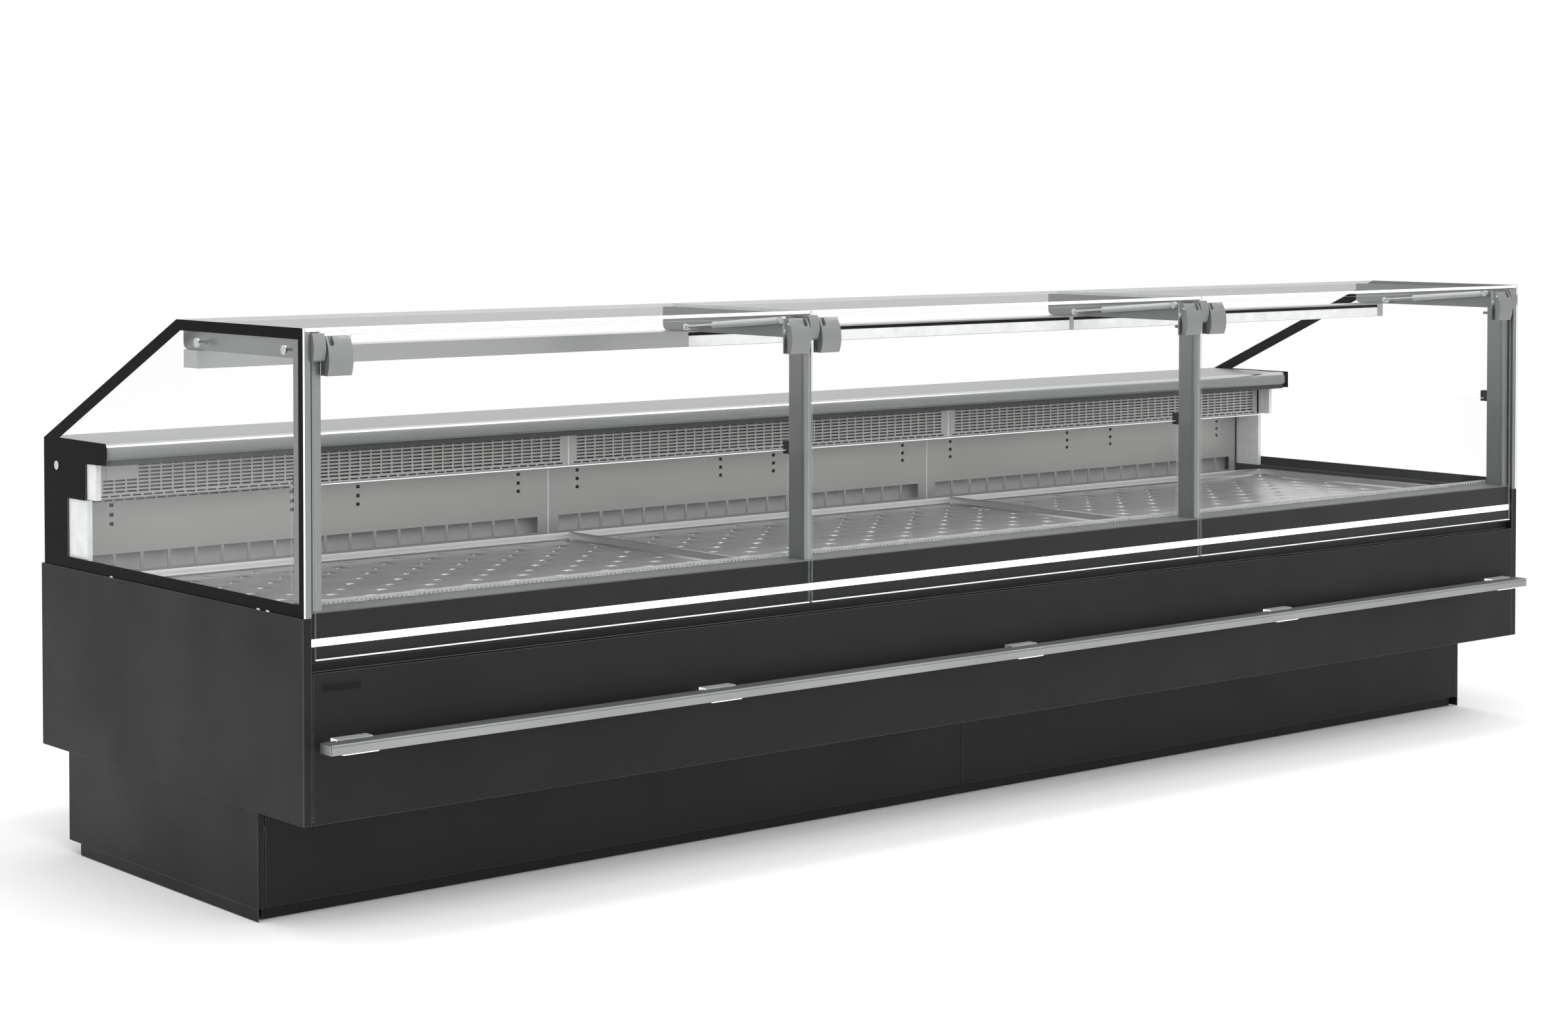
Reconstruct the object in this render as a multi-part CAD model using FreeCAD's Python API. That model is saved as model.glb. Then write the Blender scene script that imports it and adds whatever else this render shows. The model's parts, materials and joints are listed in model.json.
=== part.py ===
"""Refrigerated serve-over deli case, three 1250 mm modules long.

Frame: X runs along the case, Y from the customer side (-Y) to the staff side, Z up.
The origin is the centre of the overall footprint, on the floor. Lengths are in millimetres.
Depths are written as distances behind the case's front face, and the helpers turn them into Y.
"""
import FreeCAD, Part
import math
import os

V = FreeCAD.Vector
ALONG_X = V(1, 0, 0)
ALONG_Y = V(0, 1, 0)
UP = V(0, 0, 1)

# ---------------------------------------------------------------- driving dimensions
MODULE = 1250.0
MODULES = 3
END_WALL = 20.0
CASE_DEPTH = 1110.0
BUMPER_REACH = 55.0
CASE_TOP = 1174.0

LENGTH = MODULES * MODULE + 2 * END_WALL
HALF = LENGTH / 2
INNER = HALF - END_WALL
FRONT_Y = -(CASE_DEPTH + BUMPER_REACH) / 2 + BUMPER_REACH
JOINTS = [-MODULE / 2, MODULE / 2]
BAYS = [-MODULE, 0.0, MODULE]
BAY_NAMES = ["left", "middle", "right"]
GAP = 2.0
SHEET = 2.0

# Heights of the main levels
KICK_TOP = 26.0
BASE_TOP = 220.0
PANEL_TOP = 512.0
SIDE_TOP = 619.0
SILL_TOP = 629.0
ARM_BOTTOM = 1112.0
TOP_GLASS = 8.0
TOP_GLASS_BOTTOM = CASE_TOP - TOP_GLASS

# Base
BASE_INSET = 7.0
BASE_SIDE = 15.0
BASE_FRONT = 187.0
BASE_REAR = 999.0
FRAME_TUBE = 40.0
FOOT_HEIGHT = 40.0
FRAME_STATIONS = [-1800.0, -625.0, 625.0, 1800.0]
FRAME_RAILS = [240.0, 930.0]

# Insulated tank
TANK_HALF = INNER - GAP
TANK_FRONT = 20.0
TANK_WALL = 46.0
TANK_FLOOR = 48.0
TANK_BOTTOM = BASE_TOP + 2
TANK_RIM = 600.0
TANK_REAR = 1098.0
REAR_FOAM = 1032.0
REAR_FOAM_TOP = 850.0
REAR_SKIN = 1100.0
DRAIN_BORE = 21.0
DRAIN_DEPTH = 330.0
DRAIN_LEVEL = 110.0
DRAIN_SHOULDER = 998.0
DRAIN_END = 1088.0

# Rear wall, air duct and worktop
WALL_FACE = 990.0
DUCT_FACE = 905.0
DUCT_BOTTOM = 771.0
DUCT_TOP = 850.0
HOOK_COLUMNS = [-225.0, 225.0]
HOOK_ROWS = [747.0, 726.0, 706.0]
HOOK_HALF_WIDTH = 5.0
HOOK_HALF_HEIGHT = 4.0
VENT_WIDTH = 21.0
VENT_PITCH = 26.0
VENT_HEIGHT = 3.0
WALL_VENT_LOW = 756.0
DUCT_VENT_LOW = 774.5
RETURN_LOW = 602.0
RETURN_HIGH = 640.0
RETURN_WIDTH = 59.0
RETURN_PITCH = 66.4
RETURN_MARGIN = 30.0
WALL_BOTTOM = 594.0
SLOT_WIDTH = 24.0
SLOT_PITCH = 28.0
SLOT_ROWS = 8
SLOT_LOW = 783.0
SLOT_RISE = 8.0
SLOT_HEIGHT = 4.0
FIELD_MARGIN = 24.0
PLATE_COLUMNS = 3
PLATE_ROWS = 4
WORKTOP_FRONT = 813.0
WORKTOP_REAR = 1098.0
WORKTOP_TOP = 897.0
WORKTOP_BOTTOM = 862.0
NOSE_RADIUS = 15.0

# Posts, arms and canopy
POST_WIDTH = 20.0
POST_FRONT = 12.0
POST_REAR = 64.0
END_POST_X = INNER - 19.0
POSTS_X = [-END_POST_X] + JOINTS + [END_POST_X]
ARM_WIDTH = 16.0
ARM_REAR = 520.0
BEAM_FRONT = 444.0
BEAM_REAR = 501.0
BEAM_BOTTOM = 1075.0

# Hinged front panes
PANE = 6.0
PANE_BOTTOM = 536.0
PANE_TOP = 1160.0
PANE_EDGE_GAP = 3.5
PIVOT_DEPTH = 3.0
PIVOT_Z = 1131.0
PIN_R = 4.0
PIN_PLAY = 0.06
PIN_HEAD = 2.5
PIN_HEAD_R = 4.6
PIN_HEAD_GAP = 0.5
LUG_HALF = 13.5
LUG_TOP = 1163.0
LUG_BOTTOM = 1109.0
CLAMP_NEAR = 16.0
CLAMP_FAR = 70.0
CLAMP_BOTTOM = 1081.0
CLAMP_TOP = 1157.0
SLOT_TOP = 1122.0
NOTCH_IN = 10.0
NOTCH_HEIGHT = 19.0
NOTCH_R = 5.0
NOTCH_BACK = -2.0
PANE_NOTCH = CLAMP_FAR + 6
OPENING_DEG = 80.0

# Gas strut of each hinge: lever end at rest, fixed pivot on the arm, offset from the post's centre
LEVER_DEPTH = 61.0
LEVER_Z = 1151.0
LEVER_NEAR = 16.5
LEVER_THICK = 5.0
STRUT_OFFSET = 31.0
STRUT_DEPTH = 400.0
STRUT_Z = 1124.0
STRUT_TUBE_R = 7.5
STRUT_ROD_R = 4.0
STRUT_TUBE_LENGTH = 230.0
EYE_R = 8.0
EYE_WIDTH = 10.0

# Display deck
TRAY_FRONT = 130.0
TRAY_REAR = 896.0
TRAY_FLOOR = 590.0
TRAY_LIP = 612.0
DECK_BARS = [190.0, 860.0]

# End walls
END_PANE = 5.0
FILM = 0.6
END_OUTER = HALF - 2.5
WORKTOP_HALF = END_OUTER - END_PANE - 1
BORDER_OVER_NOSE = 6.0
SLOPE_TOP = (495.0, CASE_TOP)
SLOPE_LOW = (1098.0, 895.0)
BORDER = 22.0

# Bumper
BAR_TOP = 382.0
BAR_HEIGHT = 21.0
BAR_DEPTH = 40.0
BAR_HALF = HALF - 27.0
BRACKETS_X = [-1795.0, -897.0, 0.0, 897.0, 1795.0]

# Switch on the staff side
SWITCH_X = 1500.0
SWITCH_Z = 760.0
ROCKER_PIVOT = 3.0
ROCKER_TILT = 5.0
TRUNNION_R = 1.6

# Evaporator bay
FAN_PLATE_DEPTH = 470.0
FAN_Z = 420.0
FAN_HOLE_R = 104.0
FAN_BLADE_R = 96.0
COIL_FRONT = 620.0
COIL_REAR = 800.0
COIL_BOTTOM = TANK_BOTTOM + TANK_FLOOR
COIL_TOP = COIL_BOTTOM + 190

parts = {}


# ---------------------------------------------------------------- helpers
def fy(depth):
    """Y of a plane this far behind the case's front face."""
    return FRONT_Y + depth


def box(x0, x1, d0, d1, z0, z1):
    """Block between two X planes, two depths and two heights."""
    return Part.makeBox(x1 - x0, d1 - d0, z1 - z0, V(x0, fy(d0), z0))


def face_yz(points, x):
    """Flat face at one X from (depth, height) corners."""
    return Part.Face(Part.makePolygon([V(x, fy(d), z) for d, z in points + points[:1]]))


def prism(points, x0, x1):
    """(depth, height) outline pushed along X."""
    return face_yz(points, x0).extrude(V(x1 - x0, 0, 0))


def rod_x(x0, x1, depth, z, r):
    """Round bar along X."""
    return Part.makeCylinder(r, x1 - x0, V(x0, fy(depth), z), ALONG_X)


def rod_y(x, d0, d1, z, r):
    """Round bar along Y."""
    return Part.makeCylinder(r, d1 - d0, V(x, fy(d0), z), ALONG_Y)


def rod_z(x, depth, z0, z1, r):
    """Round bar along Z."""
    return Part.makeCylinder(r, z1 - z0, V(x, fy(depth), z0), UP)


def mirrored(shape):
    """The same piece at the other end of the case."""
    return shape.mirror(V(0, 0, 0), ALONG_X)


def add(name, *solids):
    """Keeps one node, which is one solid or a group of like solids."""
    found = [s for shape in solids for s in shape.Solids]
    parts[name] = found[0] if len(found) == 1 else Part.makeCompound(found)


def slotted_sheet(x0, x1, z0, z1, depth, thick, holes):
    """Upright sheet with rectangular holes, each given as (x0, x1, z0, z1)."""
    def loop(a, b, c, d):
        y = fy(depth)
        return Part.makePolygon([V(a, y, c), V(b, y, c), V(b, y, d), V(a, y, d), V(a, y, c)])
    face = Part.Face([loop(x0, x1, z0, z1)] + [loop(*h) for h in holes])
    face.validate()
    return face.extrude(V(0, thick, 0))


def row(x0, x1, width, pitch):
    """Starts and ends of equal slots, spread evenly about the middle of a span."""
    count = int((x1 - x0 + pitch - width) // pitch)
    start = (x0 + x1) / 2 - ((count - 1) * pitch + width) / 2
    return [(start + i * pitch, start + i * pitch + width) for i in range(count)]


def turned(depth, z, degrees):
    """Where a point of the pane's body goes when the pane opens by this angle."""
    a = math.radians(degrees)
    d, h = depth - PIVOT_DEPTH, z - PIVOT_Z
    return (PIVOT_DEPTH + d * math.cos(a) + h * math.sin(a),
            PIVOT_Z - d * math.sin(a) + h * math.cos(a))


def strut_motion():
    """Turn of the strut in degrees and its stroke in mm over the pane's full opening."""
    end = turned(LEVER_DEPTH, LEVER_Z, OPENING_DEG)
    spans = [(STRUT_DEPTH - d, z - STRUT_Z) for d, z in ((LEVER_DEPTH, LEVER_Z), end)]
    slopes = [math.degrees(math.atan2(h, d)) for d, h in spans]
    lengths = [math.hypot(d, h) for d, h in spans]
    return slopes[0] - slopes[1], lengths[1] - lengths[0]


# ---------------------------------------------------------------- base
def base():
    outer = HALF - BASE_INSET
    inner = outer - BASE_SIDE
    side = box(-outer, -inner, BASE_FRONT, BASE_REAR, KICK_TOP, BASE_TOP)
    add("base_side_plates", side, mirrored(side))

    run = inner - GAP
    fold = 18.0
    seam = 1.5

    def folded(front, direction):
        back = front + direction * fold
        skin = front + direction * SHEET
        top = BASE_TOP - 1
        low = KICK_TOP + 1
        return [(front, low), (back, low), (back, low + SHEET), (skin, low + SHEET),
                (skin, top - SHEET), (back, top - SHEET), (back, top), (front, top)]

    front_panel = prism(folded(BASE_FRONT, 1), -run, -seam)
    rear_panel = prism(folded(BASE_REAR - 4, -1), -run, -seam)
    rear_panel = rear_panel.cut(rod_y(0, BASE_REAR - 30, BASE_REAR, DRAIN_LEVEL, DRAIN_BORE + 4))
    add("base_panels", front_panel, mirrored(front_panel), rear_panel, mirrored(rear_panel))

    setback = 16.0
    floor_gap = 1.0
    front_kick = box(-run, -seam, BASE_FRONT + setback, BASE_FRONT + setback + SHEET, floor_gap, KICK_TOP)
    end_kick = box(-outer, -outer + SHEET, BASE_FRONT, BASE_REAR - 54, floor_gap, KICK_TOP)
    add("kick_boards", front_kick, mirrored(front_kick), end_kick, mirrored(end_kick))


def tube_between(start, end):
    """Square steel tube, open at both ends, between two points on one axis."""
    along = end.sub(start)
    side = UP if abs(along.z) < 1 else ALONG_Y
    across = along.cross(side).normalize()
    up = V(across).cross(V(along).normalize())

    def ring(half):
        corners = [start.add(V(across).multiply(a * half)).add(V(up).multiply(b * half))
                   for a, b in ((-1, -1), (1, -1), (1, 1), (-1, 1), (-1, -1))]
        return Part.makePolygon(corners)
    face = Part.Face([ring(FRAME_TUBE / 2), ring(FRAME_TUBE / 2 - SHEET)])
    face.validate()
    return face.extrude(along)


def base_frame():
    """Two rails along the case, with a cross tube and two legs at each station."""
    half_tube = FRAME_TUBE / 2
    level = BASE_TOP - half_tube
    end = INNER - 25
    front, rear = FRAME_RAILS
    tubes = [tube_between(V(-end, fy(depth), level), V(end, fy(depth), level)) for depth in FRAME_RAILS]
    for x in FRAME_STATIONS:
        tubes.append(tube_between(V(x, fy(front) + half_tube, level), V(x, fy(rear) - half_tube, level)))
        for depth in FRAME_RAILS:
            leg_top = V(x, fy(depth), BASE_TOP - FRAME_TUBE)
            tubes.append(tube_between(V(x, fy(depth), FOOT_HEIGHT), leg_top))
    add("base_frame", *tubes)


def levelling_foot(x, depth):
    """Round pad, cone, threaded stud and lock nut under one leg."""
    pad, pad_high, cone_high, nut_low = 28.0, 6.0, 8.0, 30.0
    stud, nut = 6.0, 11.0
    disc = rod_z(x, depth, 0, pad_high, pad)
    cone = Part.makeCone(pad - 4, stud + 3, cone_high, V(x, fy(depth), pad_high), UP)
    thread = rod_z(x, depth, pad_high + cone_high - 2, FOOT_HEIGHT, stud)
    turns = [math.radians(60 * i) for i in range(7)]
    corners = [V(x + nut * math.cos(a), fy(depth) + nut * math.sin(a), nut_low) for a in turns]
    hexagon = Part.makePolygon(corners)
    lock = Part.Face(hexagon).extrude(V(0, 0, FOOT_HEIGHT - nut_low))
    return disc.fuse(cone).fuse(thread).fuse(lock).removeSplitter()


def levelling_feet():
    add("levelling_feet", *[levelling_foot(x, depth) for x in FRAME_STATIONS for depth in FRAME_RAILS])


# ---------------------------------------------------------------- tank and cladding
def tank():
    outline = [(TANK_FRONT, TANK_BOTTOM), (TANK_FRONT, TANK_RIM),
               (TANK_FRONT + TANK_WALL, TANK_RIM),
               (TANK_FRONT + TANK_WALL, TANK_BOTTOM + TANK_FLOOR + 90),
               (TANK_FRONT + TANK_WALL + 90, TANK_BOTTOM + TANK_FLOOR),
               (REAR_FOAM, TANK_BOTTOM + TANK_FLOOR), (REAR_FOAM, REAR_FOAM_TOP),
               (TANK_REAR, REAR_FOAM_TOP), (TANK_REAR, TANK_BOTTOM)]
    body = prism(outline, -TANK_HALF, TANK_HALF)
    end = box(-TANK_HALF, -TANK_HALF + TANK_WALL, TANK_FRONT + 10, TANK_REAR - 10,
              TANK_BOTTOM + 10, TANK_RIM - 14)
    body = body.fuse(end).fuse(mirrored(end))
    body = body.cut(rod_z(0, DRAIN_DEPTH, TANK_BOTTOM - 5, TANK_BOTTOM + TANK_FLOOR + 5, DRAIN_BORE))
    add("insulated_tank", body.removeSplitter())


def drain():
    """Waste spigot: down through the tank floor, round a bend, and out at the back of the base."""
    outer, inner, bend = 20.0, 17.0, 45.0
    level = DRAIN_LEVEL
    top = TANK_BOTTOM + TANK_FLOOR
    x, y = 0.0, fy(DRAIN_DEPTH)

    def pipe(r):
        down = Part.makeCylinder(r, top - level - bend, V(x, y, level + bend), UP)
        ring = Part.makeTorus(bend, r, V(x, y + bend, level + bend), ALONG_X, 0, 360)
        corner = Part.makeBox(200, bend + r + 1, bend + r + 1, V(x - 100, y - r - 1, level - r - 1))
        elbow = ring.common(corner)
        out = Part.makeCylinder(r, fy(DRAIN_END) - y - bend, V(x, y + bend, level), ALONG_Y)
        return down.fuse(elbow).fuse(out)

    flange = rod_z(x, DRAIN_DEPTH, top, top + 3, DRAIN_BORE + 9)
    collar = rod_y(x, DRAIN_SHOULDER - 50, DRAIN_SHOULDER, level, outer + 4)
    mouth = rod_z(x, DRAIN_DEPTH, top - 2, top + 5, inner)
    solid = pipe(outer).fuse(flange).fuse(collar).cut(pipe(inner)).cut(mouth)
    add("drain_pipe", solid.removeSplitter())


def cladding():
    side = box(-HALF, -INNER, 0, CASE_DEPTH, BASE_TOP, SIDE_TOP)
    edges = [e for e in side.Edges if abs(e.BoundBox.YMax - FRONT_Y) < 0.1 and e.BoundBox.ZLength > 100]
    side = side.makeChamfer(1.2, edges)
    add("side_panels", side, mirrored(side))

    run = INNER - GAP
    lip = 18.0
    skin = [(0, BASE_TOP), (lip, BASE_TOP), (lip, BASE_TOP + SHEET), (SHEET, BASE_TOP + SHEET),
            (SHEET, PANEL_TOP - SHEET), (lip, PANEL_TOP - SHEET), (lip, PANEL_TOP), (0, PANEL_TOP)]
    add("front_panel", prism(skin, -run, run))

    face, back = 9.0, TANK_FRONT
    channel_low, channel_high, channel_back = 562.0, 577.0, 15.0
    groove_top = 530.0
    outline = [(face, groove_top), (face, channel_low), (channel_back, channel_low),
               (channel_back, channel_high), (face, channel_high), (face, SILL_TOP - 3),
               (back, SILL_TOP - 3), (back, PANEL_TOP + 1), (back - 4, PANEL_TOP + 1),
               (back - 4, groove_top)]
    add("front_fascia", prism(outline, -run, run))
    strip = [(face + 0.5, channel_low + 0.2), (channel_back, channel_low + 0.2),
             (channel_back, channel_high - 0.2), (face + 0.5, channel_high - 0.2)]
    add("front_light_strip", prism(strip, -run, run))



def sill_and_grille():
    """Sill behind the front panes, and the toothed grille that stands behind it in each bay."""
    run = INNER - GAP
    front = 9.0
    sill_rear = 84.0
    sill = [(front, SILL_TOP - 3), (sill_rear, SILL_TOP - 3), (sill_rear, TANK_RIM),
            (sill_rear + SHEET, TANK_RIM), (sill_rear + SHEET, SILL_TOP), (front, SILL_TOP)]
    add("front_sill", prism(sill, -run, run))
    slot_low, slot_high, grille_top = 616.0, 633.0, 638.0
    slot_width, slot_pitch, margin = 6.0, 10.5, 6.0
    combs = []
    for centre in BAYS:
        x0, x1 = centre - MODULE / 2 + GAP, centre + MODULE / 2 - GAP
        columns = row(x0 + margin, x1 - margin, slot_width, slot_pitch)
        slots = [(a, b, slot_low, slot_high) for a, b in columns]
        combs.append(slotted_sheet(x0, x1, TANK_RIM, grille_top, sill_rear + SHEET, SHEET, slots))
    add("front_air_grille", *combs)


def rear_panel():
    """Back skin of the case, with a field of air slots low at its left end."""
    run = INNER - GAP
    louvre_width, louvre_pitch, louvre_high = 70.0, 82.0, 6
    field_left, field_right = -1700.0, -1300.0
    slots = [(a, b, z, z + louvre_high) for z in range(250, 330, 16)
             for a, b in row(field_left, field_right, louvre_width, louvre_pitch)]
    add("rear_panel", slotted_sheet(-run, run, BASE_TOP + 2, REAR_FOAM_TOP, REAR_SKIN, SHEET, slots))


# ---------------------------------------------------------------- bumper
def bumper():
    front = -BUMPER_REACH
    back = front + BAR_DEPTH
    low = BAR_TOP - BAR_HEIGHT
    wall, groove = 2.5, 1.2
    outline = [(front, low), (back, low), (back, BAR_TOP), (front, BAR_TOP),
               (front, BAR_TOP - 4), (front + groove, BAR_TOP - 4),
               (front + groove, BAR_TOP - 5.5), (front, BAR_TOP - 5.5)]
    hollow = box(-BAR_HALF, BAR_HALF, front + wall + 1, back - wall, low + wall, BAR_TOP - wall)
    cap = 3.0
    bar = prism(outline, -BAR_HALF + cap, BAR_HALF - cap).cut(hollow)
    add("bumper_rail", bar)
    end = box(-BAR_HALF, -BAR_HALF + cap, front, back, low, BAR_TOP)
    add("bumper_end_caps", end, mirrored(end))
    width, jaw = 80.0, 3.5
    jaw_front = front + 8
    upper_front = jaw_front + 22
    brackets = []
    for x in BRACKETS_X:
        outline = [(jaw_front, low - jaw), (0, low - jaw), (0, BAR_TOP + jaw), (upper_front, BAR_TOP + jaw),
                   (upper_front, BAR_TOP), (back, BAR_TOP), (back, low), (jaw_front, low)]
        brackets.append(prism(outline, x - width / 2, x + width / 2))
    add("bumper_brackets", *brackets)


# ---------------------------------------------------------------- posts, arms, canopy
def posts_and_arms():
    posts, arms, clips = [], [], []
    reveal = 2.0
    for x in POSTS_X:
        left, right = x - POST_WIDTH / 2, x + POST_WIDTH / 2
        post = box(left, right, POST_FRONT, POST_REAR, SILL_TOP, ARM_BOTTOM)
        for edge in (left, right):
            post = post.cut(box(edge - 1, edge + 1, POST_FRONT + 7, POST_FRONT + 7 + reveal,
                                SILL_TOP - 1, ARM_BOTTOM + 1))
        peg = rod_y(x, POST_REAR, POST_REAR + 20, 1097, 3.5)
        posts.append(post.fuse(peg))
        a, b = x - ARM_WIDTH / 2, x + ARM_WIDTH / 2
        arm = box(a, b, POST_FRONT, ARM_REAR, ARM_BOTTOM, TOP_GLASS_BOTTOM)
        corner = [e for e in arm.Edges if e.BoundBox.YMin > fy(ARM_REAR) - 0.1
                  and e.BoundBox.ZMax < ARM_BOTTOM + 0.1]
        arms.append(arm.makeFillet(14.0, corner))
        clip = box(x - 9, x + 9, POST_REAR, POST_REAR + 22, 856, 885)
        clips.append(clip.cut(box(x - 10, x + 10, POST_REAR + 10.8, POST_REAR + 16.2, 850, 866)))
    add("glass_posts", *posts)
    add("canopy_arms", *arms)
    add("guard_clips", *clips)

    guards = []
    for centre in BAYS:
        x0 = max(centre - MODULE / 2 + 2, -INNER + 1)
        x1 = min(centre + MODULE / 2 - 2, INNER - 1)
        guards.append(box(x0, x1, POST_REAR + 11, POST_REAR + 16, SILL_TOP, 865.5))
    add("guard_glass", *guards)


def canopy():
    wall = 2.0
    run = INNER - 1
    beam = box(-run, run, BEAM_FRONT, BEAM_REAR, BEAM_BOTTOM, ARM_BOTTOM)
    inner = run - wall
    hollow = box(-inner, inner, BEAM_FRONT + wall, BEAM_REAR - wall, BEAM_BOTTOM + wall, ARM_BOTTOM - wall)
    beam = beam.cut(hollow)
    lip, play = 12.0, 0.2
    opening = box(-inner, inner, BEAM_FRONT + lip, BEAM_REAR - lip, BEAM_BOTTOM - 1, BEAM_BOTTOM + wall + 1)
    add("canopy_beam", beam.cut(opening))
    add("canopy_light", box(-inner + play, inner - play, BEAM_FRONT + lip + play, BEAM_REAR - lip - play,
                            BEAM_BOTTOM - 1, BEAM_BOTTOM + wall))
    panes = []
    for centre in BAYS:
        reach = END_OUTER - END_PANE - 0.5
        x0 = -reach if centre == BAYS[0] else centre - MODULE / 2 + GAP
        x1 = reach if centre == BAYS[-1] else centre + MODULE / 2 - GAP
        panes.append(box(x0, x1, 0, SLOPE_TOP[0], TOP_GLASS_BOTTOM, CASE_TOP))
    add("top_glass", *panes)


# ---------------------------------------------------------------- hinged front panes
def lug_outline():
    """Side view of a hinge lug: bulging front, rounded foot, flat back against the arm."""
    top, back, foot = LUG_TOP, POST_FRONT, LUG_BOTTOM
    front_top, belly, toe = V(0, fy(-5), top), V(0, fy(-13), PIVOT_Z + 5), V(0, fy(-10), foot + 8)
    bottom_front, bottom_bulge = V(0, fy(-2), foot), V(0, fy(-8), foot + 2.5)
    rear_low, rear_high = V(0, fy(back), foot), V(0, fy(back), top)
    runs = [Part.Arc(front_top, belly, toe), Part.Arc(toe, bottom_bulge, bottom_front),
            Part.LineSegment(bottom_front, rear_low), Part.LineSegment(rear_low, rear_high),
            Part.LineSegment(rear_high, front_top)]
    return Part.Face(Part.Wire([run.toShape() for run in runs]))


def clamp_outline():
    """Side view of a glass clamp: barrel front, straight back."""
    front_top, belly = V(0, fy(-4), CLAMP_TOP), V(0, fy(-19), SLOT_TOP - 5)
    toe = V(0, fy(-12), CLAMP_BOTTOM)
    rear_low, rear_high = V(0, fy(POST_FRONT), CLAMP_BOTTOM), V(0, fy(POST_FRONT), CLAMP_TOP)
    runs = [Part.Arc(front_top, belly, toe), Part.LineSegment(toe, rear_low),
            Part.LineSegment(rear_low, rear_high), Part.LineSegment(rear_high, front_top)]
    return Part.Face(Part.Wire([run.toShape() for run in runs]))


def clamp(hinge_x, side):
    """Clamp, with its lever for the gas strut, on one side of a hinge. side is -1 or 1."""
    near, far = hinge_x + side * CLAMP_NEAR, hinge_x + side * CLAMP_FAR
    x0, x1 = min(near, far), max(near, far)
    body = clamp_outline().extrude(V(x1 - x0, 0, 0))
    body.translate(V(x0, 0, 0))
    play = 0.15
    body = body.cut(box(x0 - 1, x1 + 1, -play, PANE + play, CLAMP_BOTTOM - 1, SLOT_TOP + play))
    body = body.cut(rod_x(x0 - 1, x1 + 1, PIVOT_DEPTH, PIVOT_Z, PIN_R + PIN_PLAY))
    notch_x = near + side * NOTCH_IN
    notch_low = CLAMP_TOP - NOTCH_HEIGHT + NOTCH_R
    body = body.cut(box(notch_x - NOTCH_R, notch_x + NOTCH_R, -30, NOTCH_BACK, notch_low, CLAMP_TOP + 1))
    body = body.cut(rod_y(notch_x, -30, NOTCH_BACK, notch_low, NOTCH_R))
    a = hinge_x + side * LEVER_NEAR
    b = a + side * LEVER_THICK
    lo, hi = min(a, b), max(a, b)
    root, tip = POST_FRONT - 2, LEVER_DEPTH - 2
    outline = [(root, PIVOT_Z - 12), (tip, LEVER_Z - EYE_R), (tip, LEVER_Z + EYE_R), (root, CLAMP_TOP - 2)]
    arm = prism(outline, lo, hi)
    boss = rod_x(lo, hi, LEVER_DEPTH, LEVER_Z, EYE_R)
    return body.fuse(arm).fuse(boss).removeSplitter()


def strut(hinge_x, side):
    """Gas strut at rest: the tube with its front eye, and the rod with its rear eye."""
    x = hinge_x + side * STRUT_OFFSET
    front = V(x, fy(LEVER_DEPTH), LEVER_Z)
    rear = V(x, fy(STRUT_DEPTH), STRUT_Z)
    along = rear.sub(front).normalize()
    span = rear.distanceToPoint(front)
    half = EYE_WIDTH / 2

    def eye(at):
        return Part.makeCylinder(EYE_R, EYE_WIDTH, at.sub(V(half, 0, 0)), ALONG_X)

    neck = 12.0
    tube_start = front.add(V(along).multiply(neck))
    tube = Part.makeCylinder(STRUT_TUBE_R, STRUT_TUBE_LENGTH, tube_start, along)
    tube = tube.fuse(Part.makeCylinder(5.0, neck + 2, front, along)).fuse(eye(front))
    bore_start = front.add(V(along).multiply(neck + STRUT_TUBE_LENGTH - 190))
    tube = tube.cut(Part.makeCylinder(STRUT_ROD_R + PIN_PLAY, 200, bore_start, along))
    stub_x0, stub_x1 = x - side * half, hinge_x + side * (LEVER_NEAR + LEVER_THICK + 0.6)
    tube = tube.fuse(rod_x(min(stub_x0, stub_x1), max(stub_x0, stub_x1), LEVER_DEPTH, LEVER_Z, 4.0))
    rod_start = front.add(V(along).multiply(neck + STRUT_TUBE_LENGTH - 180))
    rod = Part.makeCylinder(STRUT_ROD_R, span - neck - STRUT_TUBE_LENGTH + 180, rod_start, along)
    rod = rod.fuse(eye(rear))
    rod = rod.cut(rod_x(x - 20, x + 20, STRUT_DEPTH, STRUT_Z, PIN_R + PIN_PLAY))
    return tube.removeSplitter(), rod.removeSplitter()


def hinge_pin(x, reaches):
    """Pin through one lug. It reaches to the left and right as given, with a head beyond each clamp."""
    left, right = reaches
    pin = rod_x(x - left, x + right, PIVOT_DEPTH, PIVOT_Z, PIN_R)
    for side, reach in ((-1, left), (1, right)):
        if reach == CLAMP_FAR:
            shank, face = x + side * reach, x + side * (reach + PIN_HEAD_GAP)
            tip = face + side * PIN_HEAD
            pin = pin.fuse(rod_x(min(shank, face), max(shank, face), PIVOT_DEPTH, PIVOT_Z, PIN_R))
            pin = pin.fuse(rod_x(min(face, tip), max(face, tip), PIVOT_DEPTH, PIVOT_Z, PIN_HEAD_R))
    return pin.removeSplitter()


def strut_pin(hinge_x, side):
    """Pin from the arm's side through the rear eye of a strut."""
    post_x = min(POSTS_X, key=lambda post: abs(post - hinge_x))
    inner_end = post_x + side * ARM_WIDTH / 2
    outer_end = hinge_x + side * (STRUT_OFFSET + EYE_WIDTH / 2 + 3)
    return rod_x(min(inner_end, outer_end), max(inner_end, outer_end), STRUT_DEPTH, STRUT_Z, PIN_R)


def hinges_of_case():
    """X of the four hinges, from left to right."""
    end_hinge = INNER - LUG_HALF
    return [-end_hinge] + JOINTS + [end_hinge]


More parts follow.
